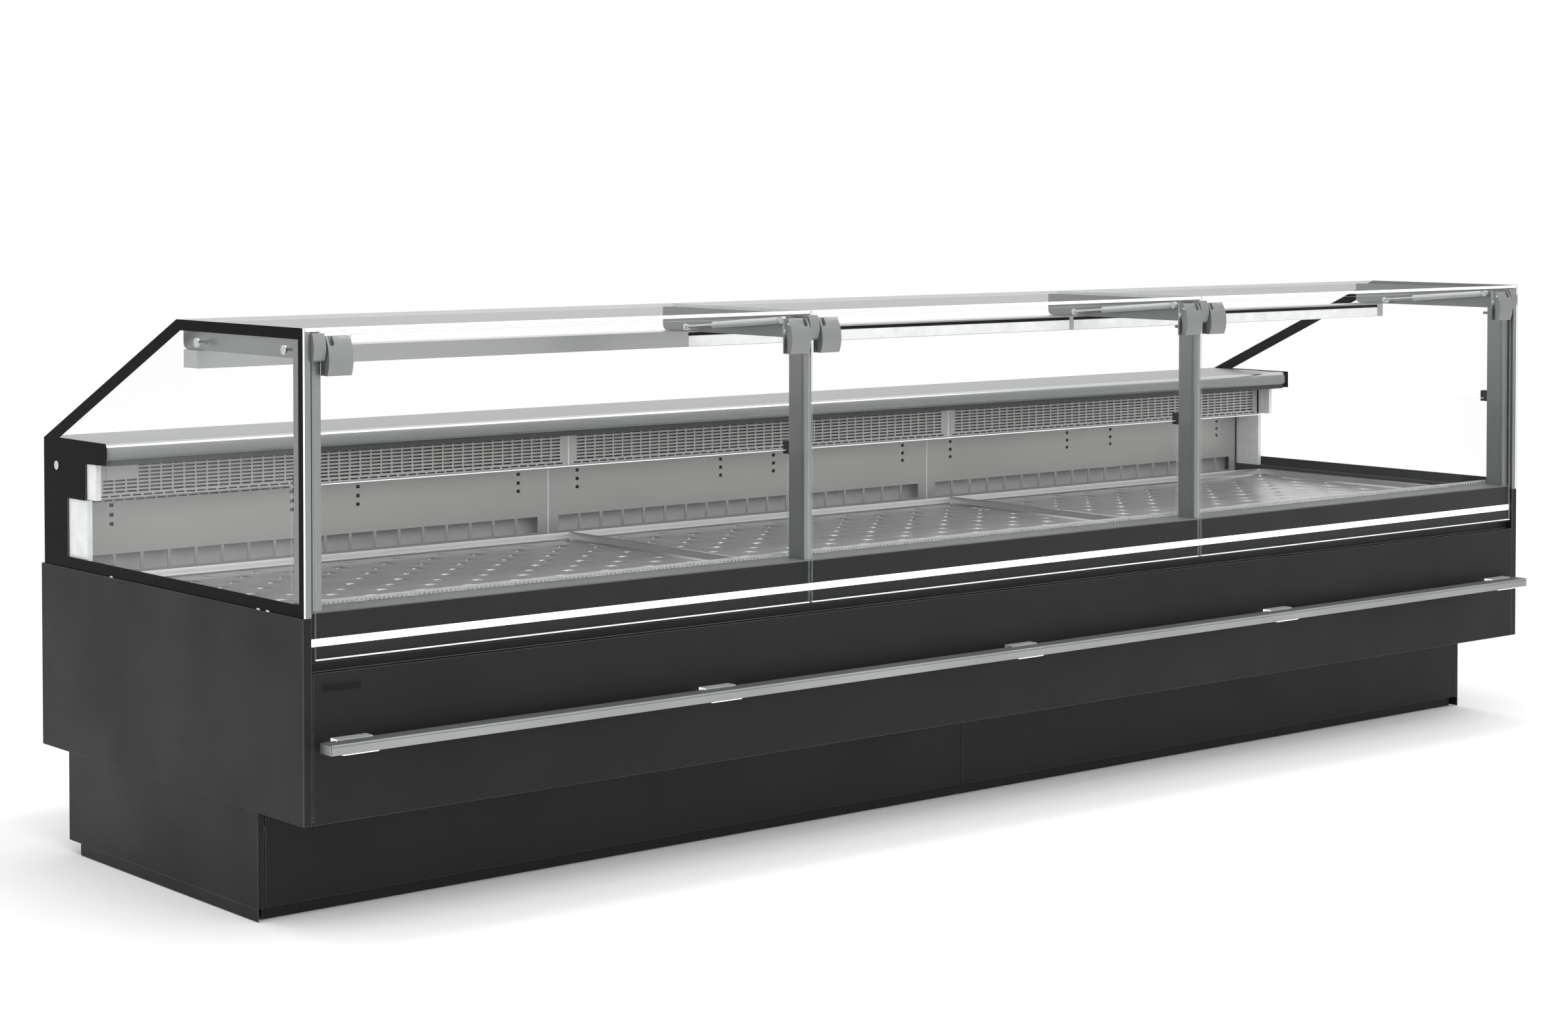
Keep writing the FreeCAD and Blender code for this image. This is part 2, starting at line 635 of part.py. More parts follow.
def lugs_and_pins():
    lugs, pins = [], []
    for x in hinges_of_case():
        lug = lug_outline().extrude(V(2 * LUG_HALF, 0, 0))
        lug.translate(V(x - LUG_HALF, 0, 0))
        bore = rod_x(x - LUG_HALF - 1, x + LUG_HALF + 1, PIVOT_DEPTH, PIVOT_Z, PIN_R)
        lugs.append(lug.cut(bore))
        sides = [side for side in (-1, 1) if abs(x + side * CLAMP_FAR) < INNER]
        pins.append(hinge_pin(x, [CLAMP_FAR if side in sides else LUG_HALF for side in (-1, 1)]))
        pins += [strut_pin(x, side) for side in sides]
    add("hinge_lugs", *lugs)
    add("hinge_and_strut_pins", *pins)


def front_pane(centre, left_hinge, right_hinge):
    """One pane, cut away round its clamps and, further down, round the lugs."""
    x0 = max(centre - MODULE / 2 + PANE_EDGE_GAP, -INNER + 9)
    x1 = min(centre + MODULE / 2 - PANE_EDGE_GAP, INNER - 9)
    pane = box(x0, x1, 0, PANE, PANE_BOTTOM, PANE_TOP)
    for hinge_x, side in ((left_hinge, 1), (right_hinge, -1)):
        for reach, low in ((PANE_NOTCH, SLOT_TOP), (LUG_HALF + 3, LUG_BOTTOM - 8)):
            edge, past = hinge_x + side * reach, hinge_x - side * PANE_NOTCH
            pane = pane.cut(box(min(edge, past), max(edge, past), -1, PANE + 1, low, PANE_TOP + 1))
    return pane


def front_panes():
    hinges = hinges_of_case()
    for centre, name, left_hinge, right_hinge in zip(BAYS, BAY_NAMES, hinges, hinges[1:]):
        add("front_glass_" + name, front_pane(centre, left_hinge, right_hinge))
        add("glass_clamps_" + name, clamp(left_hinge, 1), clamp(right_hinge, -1))
        tubes, rods = zip(strut(left_hinge, 1), strut(right_hinge, -1))
        add("strut_tubes_" + name, *tubes)
        add("strut_rods_" + name, *rods)


# ---------------------------------------------------------------- end walls
def end_walls():
    outline = [(0, SIDE_TOP), (0, CASE_TOP), SLOPE_TOP, SLOPE_LOW, (SLOPE_LOW[0], SIDE_TOP)]
    pane = prism(outline, -END_OUTER, -END_OUTER + END_PANE)
    add("end_glass", pane, mirrored(pane))
    nose = WORKTOP_FRONT - BORDER_OVER_NOSE
    clear = [(16, SIDE_TOP + 25), (16, CASE_TOP - BORDER), (479, CASE_TOP - BORDER), (1023, 899),
             (nose, 899), (nose, 853), (DUCT_FACE, DUCT_TOP), (DUCT_FACE, DUCT_BOTTOM),
             (WALL_FACE, DUCT_BOTTOM), (WALL_FACE, SIDE_TOP + 25)]
    film = prism(outline, -END_OUTER - FILM, -END_OUTER)
    film = film.cut(prism(clear, -END_OUTER - FILM - 1, -END_OUTER + 1))
    add("end_glass_borders", film, mirrored(film))

    outer, inner = -END_OUTER + END_PANE, -INNER
    trim = box(outer, inner, 0, 44, SIDE_TOP, TOP_GLASS_BOTTOM)
    trim = trim.cut(box(outer + 2, inner - 2, 2, 42, SIDE_TOP - 1, TOP_GLASS_BOTTOM + 1))
    add("end_trims", trim, mirrored(trim))

    studs = []
    arm_face = -END_POST_X - ARM_WIDTH / 2
    for depth in (81.0, 424.0):
        head = rod_x(outer, outer + 4, depth, 1129, 10)
        dome = Part.makeCone(9, 3.5, 5, V(outer + 4, fy(depth), 1129), ALONG_X)
        shank = rod_x(outer + 8, arm_face, depth, 1129, 3.5)
        stud = head.fuse(dome).fuse(shank).removeSplitter()
        studs += [stud, mirrored(stud)]
    cap = rod_x(-END_OUTER - FILM - 1.6, -END_OUTER - FILM, 1036, 838, 10)
    add("end_glass_studs", *studs, cap, mirrored(cap))

    upper = box(outer, inner, DUCT_FACE - 41, DUCT_FACE, DUCT_BOTTOM + 2, DUCT_TOP)
    lower = box(outer, inner, DUCT_FACE, WALL_FACE, SIDE_TOP, DUCT_BOTTOM)
    add("rear_corner_blocks", upper, mirrored(upper), lower, mirrored(lower))


# ---------------------------------------------------------------- rear wall, duct and worktop
def wall_panel(centre, x0, x1):
    """Panel of the rear wall: hook slots in columns, a line of vents, and return-air slots at its foot."""
    holes = []
    for panel in (-MODULE / 4, MODULE / 4):
        for column in HOOK_COLUMNS:
            x = centre + panel + column
            holes += [(x - HOOK_HALF_WIDTH, x + HOOK_HALF_WIDTH, z - HOOK_HALF_HEIGHT, z + HOOK_HALF_HEIGHT)
                      for z in HOOK_ROWS]
    holes += [(a, b, WALL_VENT_LOW, WALL_VENT_LOW + VENT_HEIGHT)
              for a, b in row(x0 + 8, x1 - 8, VENT_WIDTH, VENT_PITCH)]
    holes += [(a, b, RETURN_LOW, RETURN_HIGH)
              for a, b in row(x0 + RETURN_MARGIN, x1 - RETURN_MARGIN, RETURN_WIDTH, RETURN_PITCH)]
    return slotted_sheet(x0, x1, WALL_BOTTOM, DUCT_BOTTOM - 1, WALL_FACE, SHEET, holes)


def duct_panel(x0, x1, plated):
    """Panel of the air duct: a field of slots over a line of vents, less the corner that a plate covers."""
    slots = []
    columns = row(x0 + FIELD_MARGIN, x1 - FIELD_MARGIN, SLOT_WIDTH, SLOT_PITCH)
    for line in range(SLOT_ROWS):
        z = SLOT_LOW + SLOT_RISE * line
        beside_plate = plated and line >= SLOT_ROWS - PLATE_ROWS
        slots += [(a, b, z, z + SLOT_HEIGHT) for a, b in columns[PLATE_COLUMNS if beside_plate else 0:]]
    slots += [(a, b, DUCT_VENT_LOW, DUCT_VENT_LOW + VENT_HEIGHT)
              for a, b in row(x0 + 10, x1 - 10, VENT_WIDTH, VENT_PITCH)]
    return slotted_sheet(x0, x1, DUCT_BOTTOM, DUCT_TOP, DUCT_FACE, SHEET, slots)


def rear_wall():
    walls, grilles, shelves = [], [], []
    for centre in BAYS:
        x0, x1 = centre - MODULE / 2 + 1, centre + MODULE / 2 - 1
        walls.append(wall_panel(centre, x0, x1))
        grilles.append(duct_panel(x0, x1, centre == BAYS[0]))
        shelves.append(box(x0, x1, DUCT_FACE + SHEET, WALL_FACE + SHEET, DUCT_BOTTOM, DUCT_BOTTOM + SHEET))
    add("rear_wall_panels", *walls)
    add("air_duct_grilles", *grilles)
    add("air_duct_shelves", *shelves)


def worktop():
    """Worktop with a rounded nose and a chamfered chin, and the seal under it."""
    r = NOSE_RADIUS
    chin = 6.0
    front, rear, top, low = fy(WORKTOP_FRONT), fy(WORKTOP_REAR), WORKTOP_TOP, WORKTOP_BOTTOM
    dip = r * (1 - math.sqrt(0.5))
    run = WORKTOP_HALF
    nose_top, nose_mid = V(-run, front + r, top), V(-run, front + dip, top - dip)
    nose_front = V(-run, front, top - r)
    straight = [nose_front, V(-run, front, low + chin), V(-run, front + chin, low), V(-run, rear, low),
                V(-run, rear, top), nose_top]
    runs = [Part.LineSegment(a, b) for a, b in zip(straight, straight[1:])]
    runs.append(Part.Arc(nose_top, nose_mid, nose_front))
    outline = Part.Wire([piece.toShape() for piece in runs])
    add("worktop", Part.Face(outline).extrude(V(2 * run, 0, 0)))
    add("worktop_seal", box(-run, run, WORKTOP_FRONT + 8, WORKTOP_REAR, DUCT_TOP, WORKTOP_BOTTOM))


# ---------------------------------------------------------------- deck, evaporator and fans
def deck():
    for centre, name in zip(BAYS, BAY_NAMES):
        x0 = max(centre - MODULE / 2 + GAP, -TANK_HALF + 4)
        x1 = min(centre + MODULE / 2 - GAP, TANK_HALF - 4)
        tray = box(x0, x1, TRAY_FRONT, TRAY_REAR, TRAY_FLOOR, TRAY_LIP)
        tray = tray.cut(box(x0 + SHEET, x1 - SHEET, TRAY_FRONT + SHEET, TRAY_REAR - SHEET,
                            TRAY_FLOOR + SHEET, TRAY_LIP + 1))
        add("deck_tray_" + name, tray)


def deck_supports():
    """Two square bars along the case that the trays lie on."""
    bar = 20.0
    inner = TANK_HALF - TANK_WALL
    bars = [box(-inner, inner, depth, depth + bar, TRAY_FLOOR - bar, TRAY_FLOOR) for depth in DECK_BARS]
    add("deck_bars", *bars)


def evaporator():
    """Each coil is a comb of upright fins on one floor plate."""
    fin, pitch, span, plate = 2.0, 12.5, 1000.0, 8.0
    count = int(span // pitch)
    coils = []
    for centre in BAYS:
        x0 = centre - span / 2
        points = [(x0, COIL_BOTTOM), (x0 + (count - 1) * pitch + fin, COIL_BOTTOM)]
        for i in reversed(range(count)):
            x = x0 + i * pitch
            points += [(x + fin, COIL_TOP), (x, COIL_TOP)]
            if i:
                points += [(x, COIL_BOTTOM + plate), (x - pitch + fin, COIL_BOTTOM + plate)]
        outline = Part.makePolygon([V(x, fy(COIL_FRONT), z) for x, z in points + points[:1]])
        coils.append(Part.Face(outline).extrude(V(0, COIL_REAR - COIL_FRONT, 0)))
    add("evaporator_coils", *coils)


def fan_motor(centre):
    """Motor can and shaft on a spider of four bent legs, whose feet stand on the fan plate."""
    can_r, shaft_r, thick, half_width = 38.0, 4.0, 4.0, 6.0
    leg_front = FAN_PLATE_DEPTH - 30
    foot_in, foot_out = centre + FAN_HOLE_R + 4, centre + FAN_HOLE_R + 10
    can = rod_y(centre, FAN_PLATE_DEPTH - 62, FAN_PLATE_DEPTH - 22, FAN_Z, can_r)
    motor = can.fuse(rod_y(centre, FAN_PLATE_DEPTH - 22, FAN_PLATE_DEPTH + 12, FAN_Z, shaft_r))
    for angle in (45, 135, 225, 315):
        arm = box(centre + 30, foot_out, leg_front, leg_front + thick, FAN_Z - half_width, FAN_Z + half_width)
        foot = box(foot_in, foot_out, leg_front, FAN_PLATE_DEPTH, FAN_Z - half_width, FAN_Z + half_width)
        leg = arm.fuse(foot)
        leg.rotate(V(centre, 0, FAN_Z), ALONG_Y, angle)
        motor = motor.fuse(leg)
    return motor.removeSplitter()


def fan_blades(centre):
    """Hub with five pitched blades, bored for the motor's shaft."""
    hub_r, thick, chord, pitch_deg, blade_count = 26.0, 3.0, 46.0, 24.0, 5
    bore_r = 4.06
    blades = rod_y(centre, FAN_PLATE_DEPTH - 12, FAN_PLATE_DEPTH + 14, FAN_Z, hub_r)
    swept = rod_y(centre, FAN_PLATE_DEPTH - 20, FAN_PLATE_DEPTH + 20, FAN_Z, FAN_BLADE_R)
    for i in range(blade_count):
        root = V(centre + 20, fy(FAN_PLATE_DEPTH - 1), FAN_Z - chord / 2)
        blade = Part.makeBox(FAN_BLADE_R - 20, thick, chord, root).common(swept)
        blade.rotate(V(centre, fy(FAN_PLATE_DEPTH + 1), FAN_Z), ALONG_X, pitch_deg)
        blade.rotate(V(centre, 0, FAN_Z), ALONG_Y, 360 / blade_count * i)
        blades = blades.fuse(blade)
    bore = rod_y(centre, FAN_PLATE_DEPTH - 30, FAN_PLATE_DEPTH + 12.5, FAN_Z, bore_r)
    return blades.cut(bore).removeSplitter()


def fans():
    run = TANK_HALF - TANK_WALL - GAP
    low, high = TANK_BOTTOM + TANK_FLOOR, TRAY_FLOOR - 22
    plate = box(-run, run, FAN_PLATE_DEPTH, FAN_PLATE_DEPTH + SHEET, low, high)
    for centre, name in zip(BAYS, BAY_NAMES):
        plate = plate.cut(rod_y(centre, FAN_PLATE_DEPTH - 5, FAN_PLATE_DEPTH + 5, FAN_Z, FAN_HOLE_R))
        add("fan_blades_" + name, fan_blades(centre))
    add("fan_plate", plate)
    add("fan_motors", *[fan_motor(centre) for centre in BAYS])


# ---------------------------------------------------------------- controls on the staff side
def controls():
    """Switch plate on the staff side, with a rocker that rests tilted to off."""
    x, z = SWITCH_X, SWITCH_Z
    width, height, plate, corner = 150.0, 70.0, 3.0, 6.0
    rocker_x = x + 44
    half_well, well_high, reach = 15.5, 12.0, 10.8
    skin = REAR_SKIN + SHEET
    well_left, well_right = rocker_x - half_well, rocker_x + half_well
    well = box(well_left, well_right, skin + 0.8, skin + plate + 1, z - well_high, z + well_high)
    bezel = box(x - width / 2, x + width / 2, skin, skin + plate, z - height / 2, z + height / 2)
    upright = [e for e in bezel.Edges if e.BoundBox.YLength > plate - 0.1 and e.BoundBox.ZLength < 0.1]
    add("switch_plate", bezel.makeFillet(corner, upright).cut(well))
    low, mid, high = skin + 2.0, skin + 4.2, skin + 6.0
    outline = [(low, z - reach), (high, z - reach), (mid, z), (high, z + reach), (low, z + reach)]
    rocker = prism(outline, well_left + 0.4, well_right - 0.4)
    rocker.rotate(V(x, fy(skin + ROCKER_PIVOT), z), ALONG_X, ROCKER_TILT)
    trunnion = rod_x(well_left + 0.1, well_right - 0.1, skin + ROCKER_PIVOT, z, TRUNNION_R)
    add("light_switch_rocker", rocker.fuse(trunnion).removeSplitter())


if __name__ == "__main__":
    base()
    base_frame()
    levelling_feet()
    tank()
    drain()
    cladding()
    sill_and_grille()
    rear_panel()
    bumper()
    posts_and_arms()
    canopy()
    lugs_and_pins()
    front_panes()
    end_walls()
    rear_wall()
    worktop()
    deck()
    deck_supports()
    evaporator()
    fans()
    controls()

    os.makedirs("parts", exist_ok=True)
    for name, shape in parts.items():
        if not shape.isValid():
            print("not valid:", name)
        shape.exportStep("parts/" + name + ".step")
    turn, stroke = strut_motion()
    print(len(parts), "nodes; strut turns", round(turn, 4), "deg and extends", round(stroke, 4), "mm")
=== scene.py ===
import json
import math

import bmesh
import bpy
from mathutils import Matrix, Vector


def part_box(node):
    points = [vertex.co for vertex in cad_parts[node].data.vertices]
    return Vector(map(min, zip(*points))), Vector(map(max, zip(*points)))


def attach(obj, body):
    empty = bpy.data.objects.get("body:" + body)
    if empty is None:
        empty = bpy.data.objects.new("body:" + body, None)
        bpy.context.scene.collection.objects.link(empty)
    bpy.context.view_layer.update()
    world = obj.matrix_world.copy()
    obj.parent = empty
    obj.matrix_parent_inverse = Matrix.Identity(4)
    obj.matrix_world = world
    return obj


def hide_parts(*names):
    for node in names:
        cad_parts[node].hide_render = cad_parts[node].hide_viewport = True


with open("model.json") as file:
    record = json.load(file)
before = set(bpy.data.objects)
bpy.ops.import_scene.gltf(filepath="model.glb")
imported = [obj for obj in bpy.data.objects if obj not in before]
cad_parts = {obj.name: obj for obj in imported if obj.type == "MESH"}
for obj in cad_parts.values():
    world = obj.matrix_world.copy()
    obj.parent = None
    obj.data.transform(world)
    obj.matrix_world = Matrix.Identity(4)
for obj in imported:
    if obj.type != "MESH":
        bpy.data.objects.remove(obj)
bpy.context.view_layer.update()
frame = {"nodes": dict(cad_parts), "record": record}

MM = 0.001
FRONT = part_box("front_panel")[0].y
ALONG, BACK, UP = Vector((1, 0, 0)), Vector((0, 1, 0)), Vector((0, 0, 1))
RECORD = frame["record"]
BODY_OF = {n: body for body, names in RECORD["behaviour"]["bodies"].items() for n in names}
BAYS = ["left", "middle", "right"]
SCENE = bpy.context.scene


# ---------------------------------------------------------------- small helpers
def linear(code):
    """RGBA in linear light from an sRGB hex code."""
    parts = [int(code[i:i + 2], 16) / 255 for i in (1, 3, 5)]
    return [c / 12.92 if c <= 0.04045 else ((c + 0.055) / 1.055) ** 2.4 for c in parts] + [1.0]


def depth(mm):
    """Y of a plane this many millimetres behind the front panel."""
    return FRONT + mm * MM


def add_node(tree, kind, values=None, links=None, **settings):
    """Adds a shader node with its settings, its socket values and its incoming links."""
    made = tree.nodes.new("ShaderNode" + kind)
    for name, value in settings.items():
        setattr(made, name, value)
    for name, value in (values or {}).items():
        made.inputs[name].default_value = value
    for name, source in (links or {}).items():
        tree.links.new(source, made.inputs[name])
    return made


def finish_material(name, colour, **values):
    """A new material with one Principled shader, and its tree and shader."""
    made = bpy.data.materials.new(name)
    made.use_nodes = True
    shader = made.node_tree.nodes["Principled BSDF"]
    shader.inputs["Base Color"].default_value = linear(colour)
    for socket, value in values.items():
        shader.inputs[socket.replace("_", " ")].default_value = value
    return made, made.node_tree, shader


def pattern(tree, scale, detail=2.0, stretch=(1, 1, 1)):
    """Noise over the object's own coordinates, stretched along its axes."""
    place = add_node(tree, "TexCoord")
    spread = add_node(tree, "Mapping", {"Scale": stretch}, {"Vector": place.outputs["Object"]})
    values = {"Scale": scale, "Detail": detail}
    noise = add_node(tree, "TexNoise", values, {"Vector": spread.outputs["Vector"]})
    return noise.outputs["Fac"]


def spread_between(tree, source, low, high, socket):
    """Feeds a socket with a pattern mapped between two values."""
    ramp = add_node(tree, "MapRange", {"From Min": 0.3, "From Max": 0.7, "To Min": low, "To Max": high},
                    {"Value": source})
    tree.links.new(ramp.outputs["Result"], socket)


def two_tones(tree, source, dark, light, socket):
    """Feeds a colour socket with a pattern between two tones."""
    ramp = add_node(tree, "ValToRGB", links={"Fac": source})
    ramp.color_ramp.elements[0].position = 0.3
    ramp.color_ramp.elements[0].color = linear(dark)
    ramp.color_ramp.elements[1].position = 0.7
    ramp.color_ramp.elements[1].color = linear(light)
    tree.links.new(ramp.outputs["Color"], socket)


def relief(tree, source, height_mm, shader, strength=1.0):
    """Bumps the surface with a pattern of this height."""
    bump = add_node(tree, "Bump", {"Strength": strength, "Distance": height_mm * MM}, {"Height": source})
    tree.links.new(bump.outputs["Normal"], shader.inputs["Normal"])


# ---------------------------------------------------------------- finishes
def powder_coated_steel(name, dark, light):
    """Black polyester powder on steel: satin, with a faint orange peel drawn coarser than life."""
    made, tree, shader = finish_material(name, dark, Specular_IOR_Level=0.22)
    two_tones(tree, pattern(tree, 2.2, 3.0), dark, light, shader.inputs["Base Color"])
    spread_between(tree, pattern(tree, 5.0, 4.0), 0.46, 0.56, shader.inputs["Roughness"])
    relief(tree, pattern(tree, 260.0), 0.05, shader, 0.35)
    return made


def anodised_aluminium():
    """Satin anodised extrusion: die lines run along its length and blur what it mirrors."""
    made, tree, shader = finish_material("anodised_aluminium", "#9A9C9B", Metallic=1.0, Roughness=0.42)
    lines = pattern(tree, 900.0, 1.0, (0.01, 1, 1))
    two_tones(tree, pattern(tree, 3.0, 2.0), "#949695", "#A0A2A1", shader.inputs["Base Color"])
    spread_between(tree, lines, 0.34, 0.46, shader.inputs["Roughness"])
    relief(tree, lines, 0.02, shader, 0.3)
    return made


def upright_aluminium():
    """The same anodised extrusion standing up, with its die lines vertical."""
    made, tree, shader = finish_material("upright_aluminium", "#8C8E8D", Metallic=1.0, Roughness=0.42)
    lines = pattern(tree, 900.0, 1.0, (1, 1, 0.01))
    two_tones(tree, pattern(tree, 3.0, 2.0), "#878988", "#929493", shader.inputs["Base Color"])
    spread_between(tree, lines, 0.34, 0.46, shader.inputs["Roughness"])
    relief(tree, lines, 0.02, shader, 0.3)
    return made


def dark_aluminium():
    """The same extrusion, darker and duller, of the sill and of the rail's upward faces."""
    made, tree, shader = finish_material("dark_anodised_aluminium", "#6A6C6B",
                                         Metallic=0.3, Specular_IOR_Level=0.2)
    lines = pattern(tree, 900.0, 1.0, (0.01, 1, 1))
    two_tones(tree, pattern(tree, 3.0, 2.0), "#656766", "#707271", shader.inputs["Base Color"])
    spread_between(tree, lines, 0.5, 0.6, shader.inputs["Roughness"])
    relief(tree, lines, 0.02, shader, 0.3)
    return made


def lacquered_beam():
    """Aluminium under a clear stoved lacquer: mid grey face on, and pale where the eye slides along it."""
    made, tree, shader = finish_material("lacquered_aluminium", "#8E908F", Metallic=0.7, Roughness=0.4,
                                         Coat_Weight=1.0, Coat_IOR=2.1, Coat_Roughness=0.25)
    lines = pattern(tree, 900.0, 1.0, (0.01, 1, 1))
    spread_between(tree, lines, 0.34, 0.46, shader.inputs["Roughness"])
    relief(tree, lines, 0.02, shader, 0.3)
    return made


def silver_lacquer():
    """Silver paint on the gas struts' tubes: pale, even, with a soft shine."""
    made, tree, shader = finish_material("silver_lacquer", "#BFC1C0", Metallic=0.35, Roughness=0.34)
    spread_between(tree, pattern(tree, 500.0, 2.0), 0.3, 0.4, shader.inputs["Roughness"])
    return made


def cast_zinc():
    """Die-cast zinc with a satin lacquer: a fine even grain, no direction."""
    made, tree, shader = finish_material("cast_zinc", "#868887", Metallic=0.6, Roughness=0.48)
    grain = pattern(tree, 700.0, 3.0)
    spread_between(tree, grain, 0.4, 0.52, shader.inputs["Roughness"])
    relief(tree, grain, 0.03, shader, 0.3)
    return made


def brushed_stainless():
    """Stainless sheet brushed along its length with a grit belt: fine streaks in the shine."""
    made, tree, shader = finish_material("brushed_stainless", "#BFC0BF", Metallic=1.0, Roughness=0.32)
    streaks = pattern(tree, 1100.0, 2.0, (0.008, 1, 1))
    two_tones(tree, streaks, "#B6B7B6", "#C8C9C8", shader.inputs["Base Color"])
    spread_between(tree, streaks, 0.26, 0.4, shader.inputs["Roughness"])
    relief(tree, streaks, 0.015, shader, 0.3)
    return made


def worktop_steel():
    """Stainless sheet with a dull rolled finish and long fine brush lines, worn even by wiping."""
    made, tree, shader = finish_material("worktop_stainless", "#848685", Metallic=0.3, Roughness=0.36,
                                         Specular_IOR_Level=0.3)
    streaks = pattern(tree, 1100.0, 2.0, (0.008, 1, 1))
    two_tones(tree, streaks, "#7E807F", "#8A8C8B", shader.inputs["Base Color"])
    spread_between(tree, streaks, 0.3, 0.42, shader.inputs["Roughness"])
    relief(tree, streaks, 0.015, shader, 0.3)
    return made


def coated_display_steel(name, dark, light):
    """Grey stoved enamel on the display's inner sheets: smooth, with a soft sheen."""
    made, tree, shader = finish_material(name, light, Metallic=0.3, Roughness=0.42)
    two_tones(tree, pattern(tree, 1.6, 2.0), dark, light, shader.inputs["Base Color"])
    spread_between(tree, pattern(tree, 420.0, 2.0), 0.38, 0.46, shader.inputs["Roughness"])
    return made


def float_glass(name, tone, clear, mirror, metallic, gloss):
    """Polished toughened glass: clear face on, and less so the further the eye slides along its surface."""
    made, tree, shader = finish_material(name, tone, Metallic=metallic, Roughness=0.03,
                                         Specular_IOR_Level=gloss)
    side = add_node(tree, "LayerWeight", {"Blend": 0.5})
    steep = add_node(tree, "Math", {1: 5.0}, {0: side.outputs["Facing"]}, operation="POWER")
    alpha = add_node(tree, "MapRange", {"To Min": clear, "To Max": mirror}, {"Value": steep.outputs["Value"]})
    tree.links.new(alpha.outputs["Result"], shader.inputs["Alpha"])
    return made


def ground_glass_edge(name, dark, light, alpha):
    """The ground and polished rim of a pane: faintly green and a little frosted."""
    made, tree, shader = finish_material(name, light, Roughness=0.22, Alpha=alpha)
    two_tones(tree, pattern(tree, 60.0, 3.0), dark, light, shader.inputs["Base Color"])
    return made


def fired_black_ink():
    """Ceramic ink fired onto the glass: dense black with the glass's own even gloss."""
    made, tree, shader = finish_material("fired_black_ink", "#0C0C0C", Specular_IOR_Level=0.04)
    spread_between(tree, pattern(tree, 90.0, 3.0), 0.4, 0.48, shader.inputs["Roughness"])
    return made


def moulded_black():
    """Injection-moulded black ABS with a fine spark-eroded grain."""
    made, tree, shader = finish_material("moulded_black", "#161617", Roughness=0.55, Specular_IOR_Level=0.3)
    grain = pattern(tree, 800.0, 2.0)
    spread_between(tree, grain, 0.48, 0.62, shader.inputs["Roughness"])
    relief(tree, grain, 0.04, shader, 0.4)
    return made


def moulded_grey():
    """Glass-filled nylon of the fan blades: mid grey, slightly streaked."""
    made, tree, shader = finish_material("moulded_grey", "#8E908F", Roughness=0.5)
    two_tones(tree, pattern(tree, 40.0, 4.0), "#898B8A", "#949695", shader.inputs["Base Color"])
    relief(tree, pattern(tree, 800.0, 2.0), 0.03, shader, 0.3)
    return made


def frosted_plastic(name, dark, light, painted_glow):
    """Milky polycarbonate. A glow above nothing is painted light, which keeps its faces pale where they would
    be shaded.
    """
    made, tree, shader = finish_material(name, light, Roughness=0.4, Emission_Strength=painted_glow)
    shader.inputs["Emission Color"].default_value = linear("#FFFFFF")
    two_tones(tree, pattern(tree, 30.0, 3.0), dark, light, shader.inputs["Base Color"])
    return made


def opal_diffuser():
    """Opal acrylic in front of the light strips, lit from behind by closely spaced diodes."""
    made, tree, shader = finish_material("opal_diffuser", "#FFFFFF", Roughness=0.3)
    shader.inputs["Emission Color"].default_value = linear("#F4F9FF")
    diodes = pattern(tree, 120.0, 1.0, (1, 0.05, 0.05))
    spread_between(tree, diodes, 0.85, 1.0, shader.inputs["Emission Strength"])
    return made


def galvanised_steel():
    """Hot-dip zinc on the frame: a patchy grey spangle."""
    made, tree, shader = finish_material("galvanised_steel", "#A2A5A6", Metallic=0.9, Roughness=0.45)
    place = add_node(tree, "TexCoord")
    spangle = add_node(tree, "TexVoronoi", {"Scale": 90.0}, {"Vector": place.outputs["Object"]})
    two_tones(tree, spangle.outputs["Distance"], "#989B9C", "#B2B5B6", shader.inputs["Base Color"])
    spread_between(tree, spangle.outputs["Distance"], 0.38, 0.52, shader.inputs["Roughness"])
    return made


def white_liner():
    """White foil-faced steel round the foam of the tank."""
    made, tree, shader = finish_material("white_liner", "#DADBD9", Roughness=0.45)
    two_tones(tree, pattern(tree, 4.0, 2.0), "#D4D5D3", "#E0E1DF", shader.inputs["Base Color"])
    relief(tree, pattern(tree, 300.0), 0.03, shader, 0.3)
    return made


def polished_steel():
    """Ground and polished steel of pins, rods and screw heads. On the upper round of the worktop's nose it is
    a painted highlight.
    """
    made, tree, shader = finish_material("polished_steel", "#C9CACB", Metallic=1.0, Roughness=0.2)
    spread_between(tree, pattern(tree, 900.0, 1.0, (1, 1, 0.05)), 0.15, 0.27, shader.inputs["Roughness"])
    return made


def coil_fins():
    """Bare aluminium fin stock: thin, pale, with a slight oily shine."""
    made, tree, shader = finish_material("coil_fins", "#C2C6C8", Metallic=1.0, Roughness=0.35)
    spread_between(tree, pattern(tree, 200.0, 2.0), 0.3, 0.45, shader.inputs["Roughness"])
    return made


def drawn_copper():
    """Drawn copper pipe, dulled by handling."""
    made, tree, shader = finish_material("drawn_copper", "#B87350", Metallic=1.0, Roughness=0.3)
    two_tones(tree, pattern(tree, 35.0, 4.0), "#8A5238", "#C7835F", shader.inputs["Base Color"])
    spread_between(tree, pattern(tree, 35.0, 4.0), 0.25, 0.42, shader.inputs["Roughness"])
    return made


def rubber_seal(name, tone):
    """Extruded EPDM: dead matt. In black it fills gaps as painted shade, so that each reads as a dark shadow
    line.
    """
    made, tree, shader = finish_material(name, tone, Roughness=0.8, Specular_IOR_Level=0.1)
    relief(tree, pattern(tree, 500.0, 2.0), 0.03, shader, 0.3)
    return made


def smoked_window():
    """Smoked acrylic over the controller's blank display, polished."""
    made, tree, shader = finish_material("smoked_window", "#0B0C0D", Roughness=0.12, Specular_IOR_Level=0.15)
    spread_between(tree, pattern(tree, 30.0, 2.0), 0.08, 0.16, shader.inputs["Roughness"])
    return made


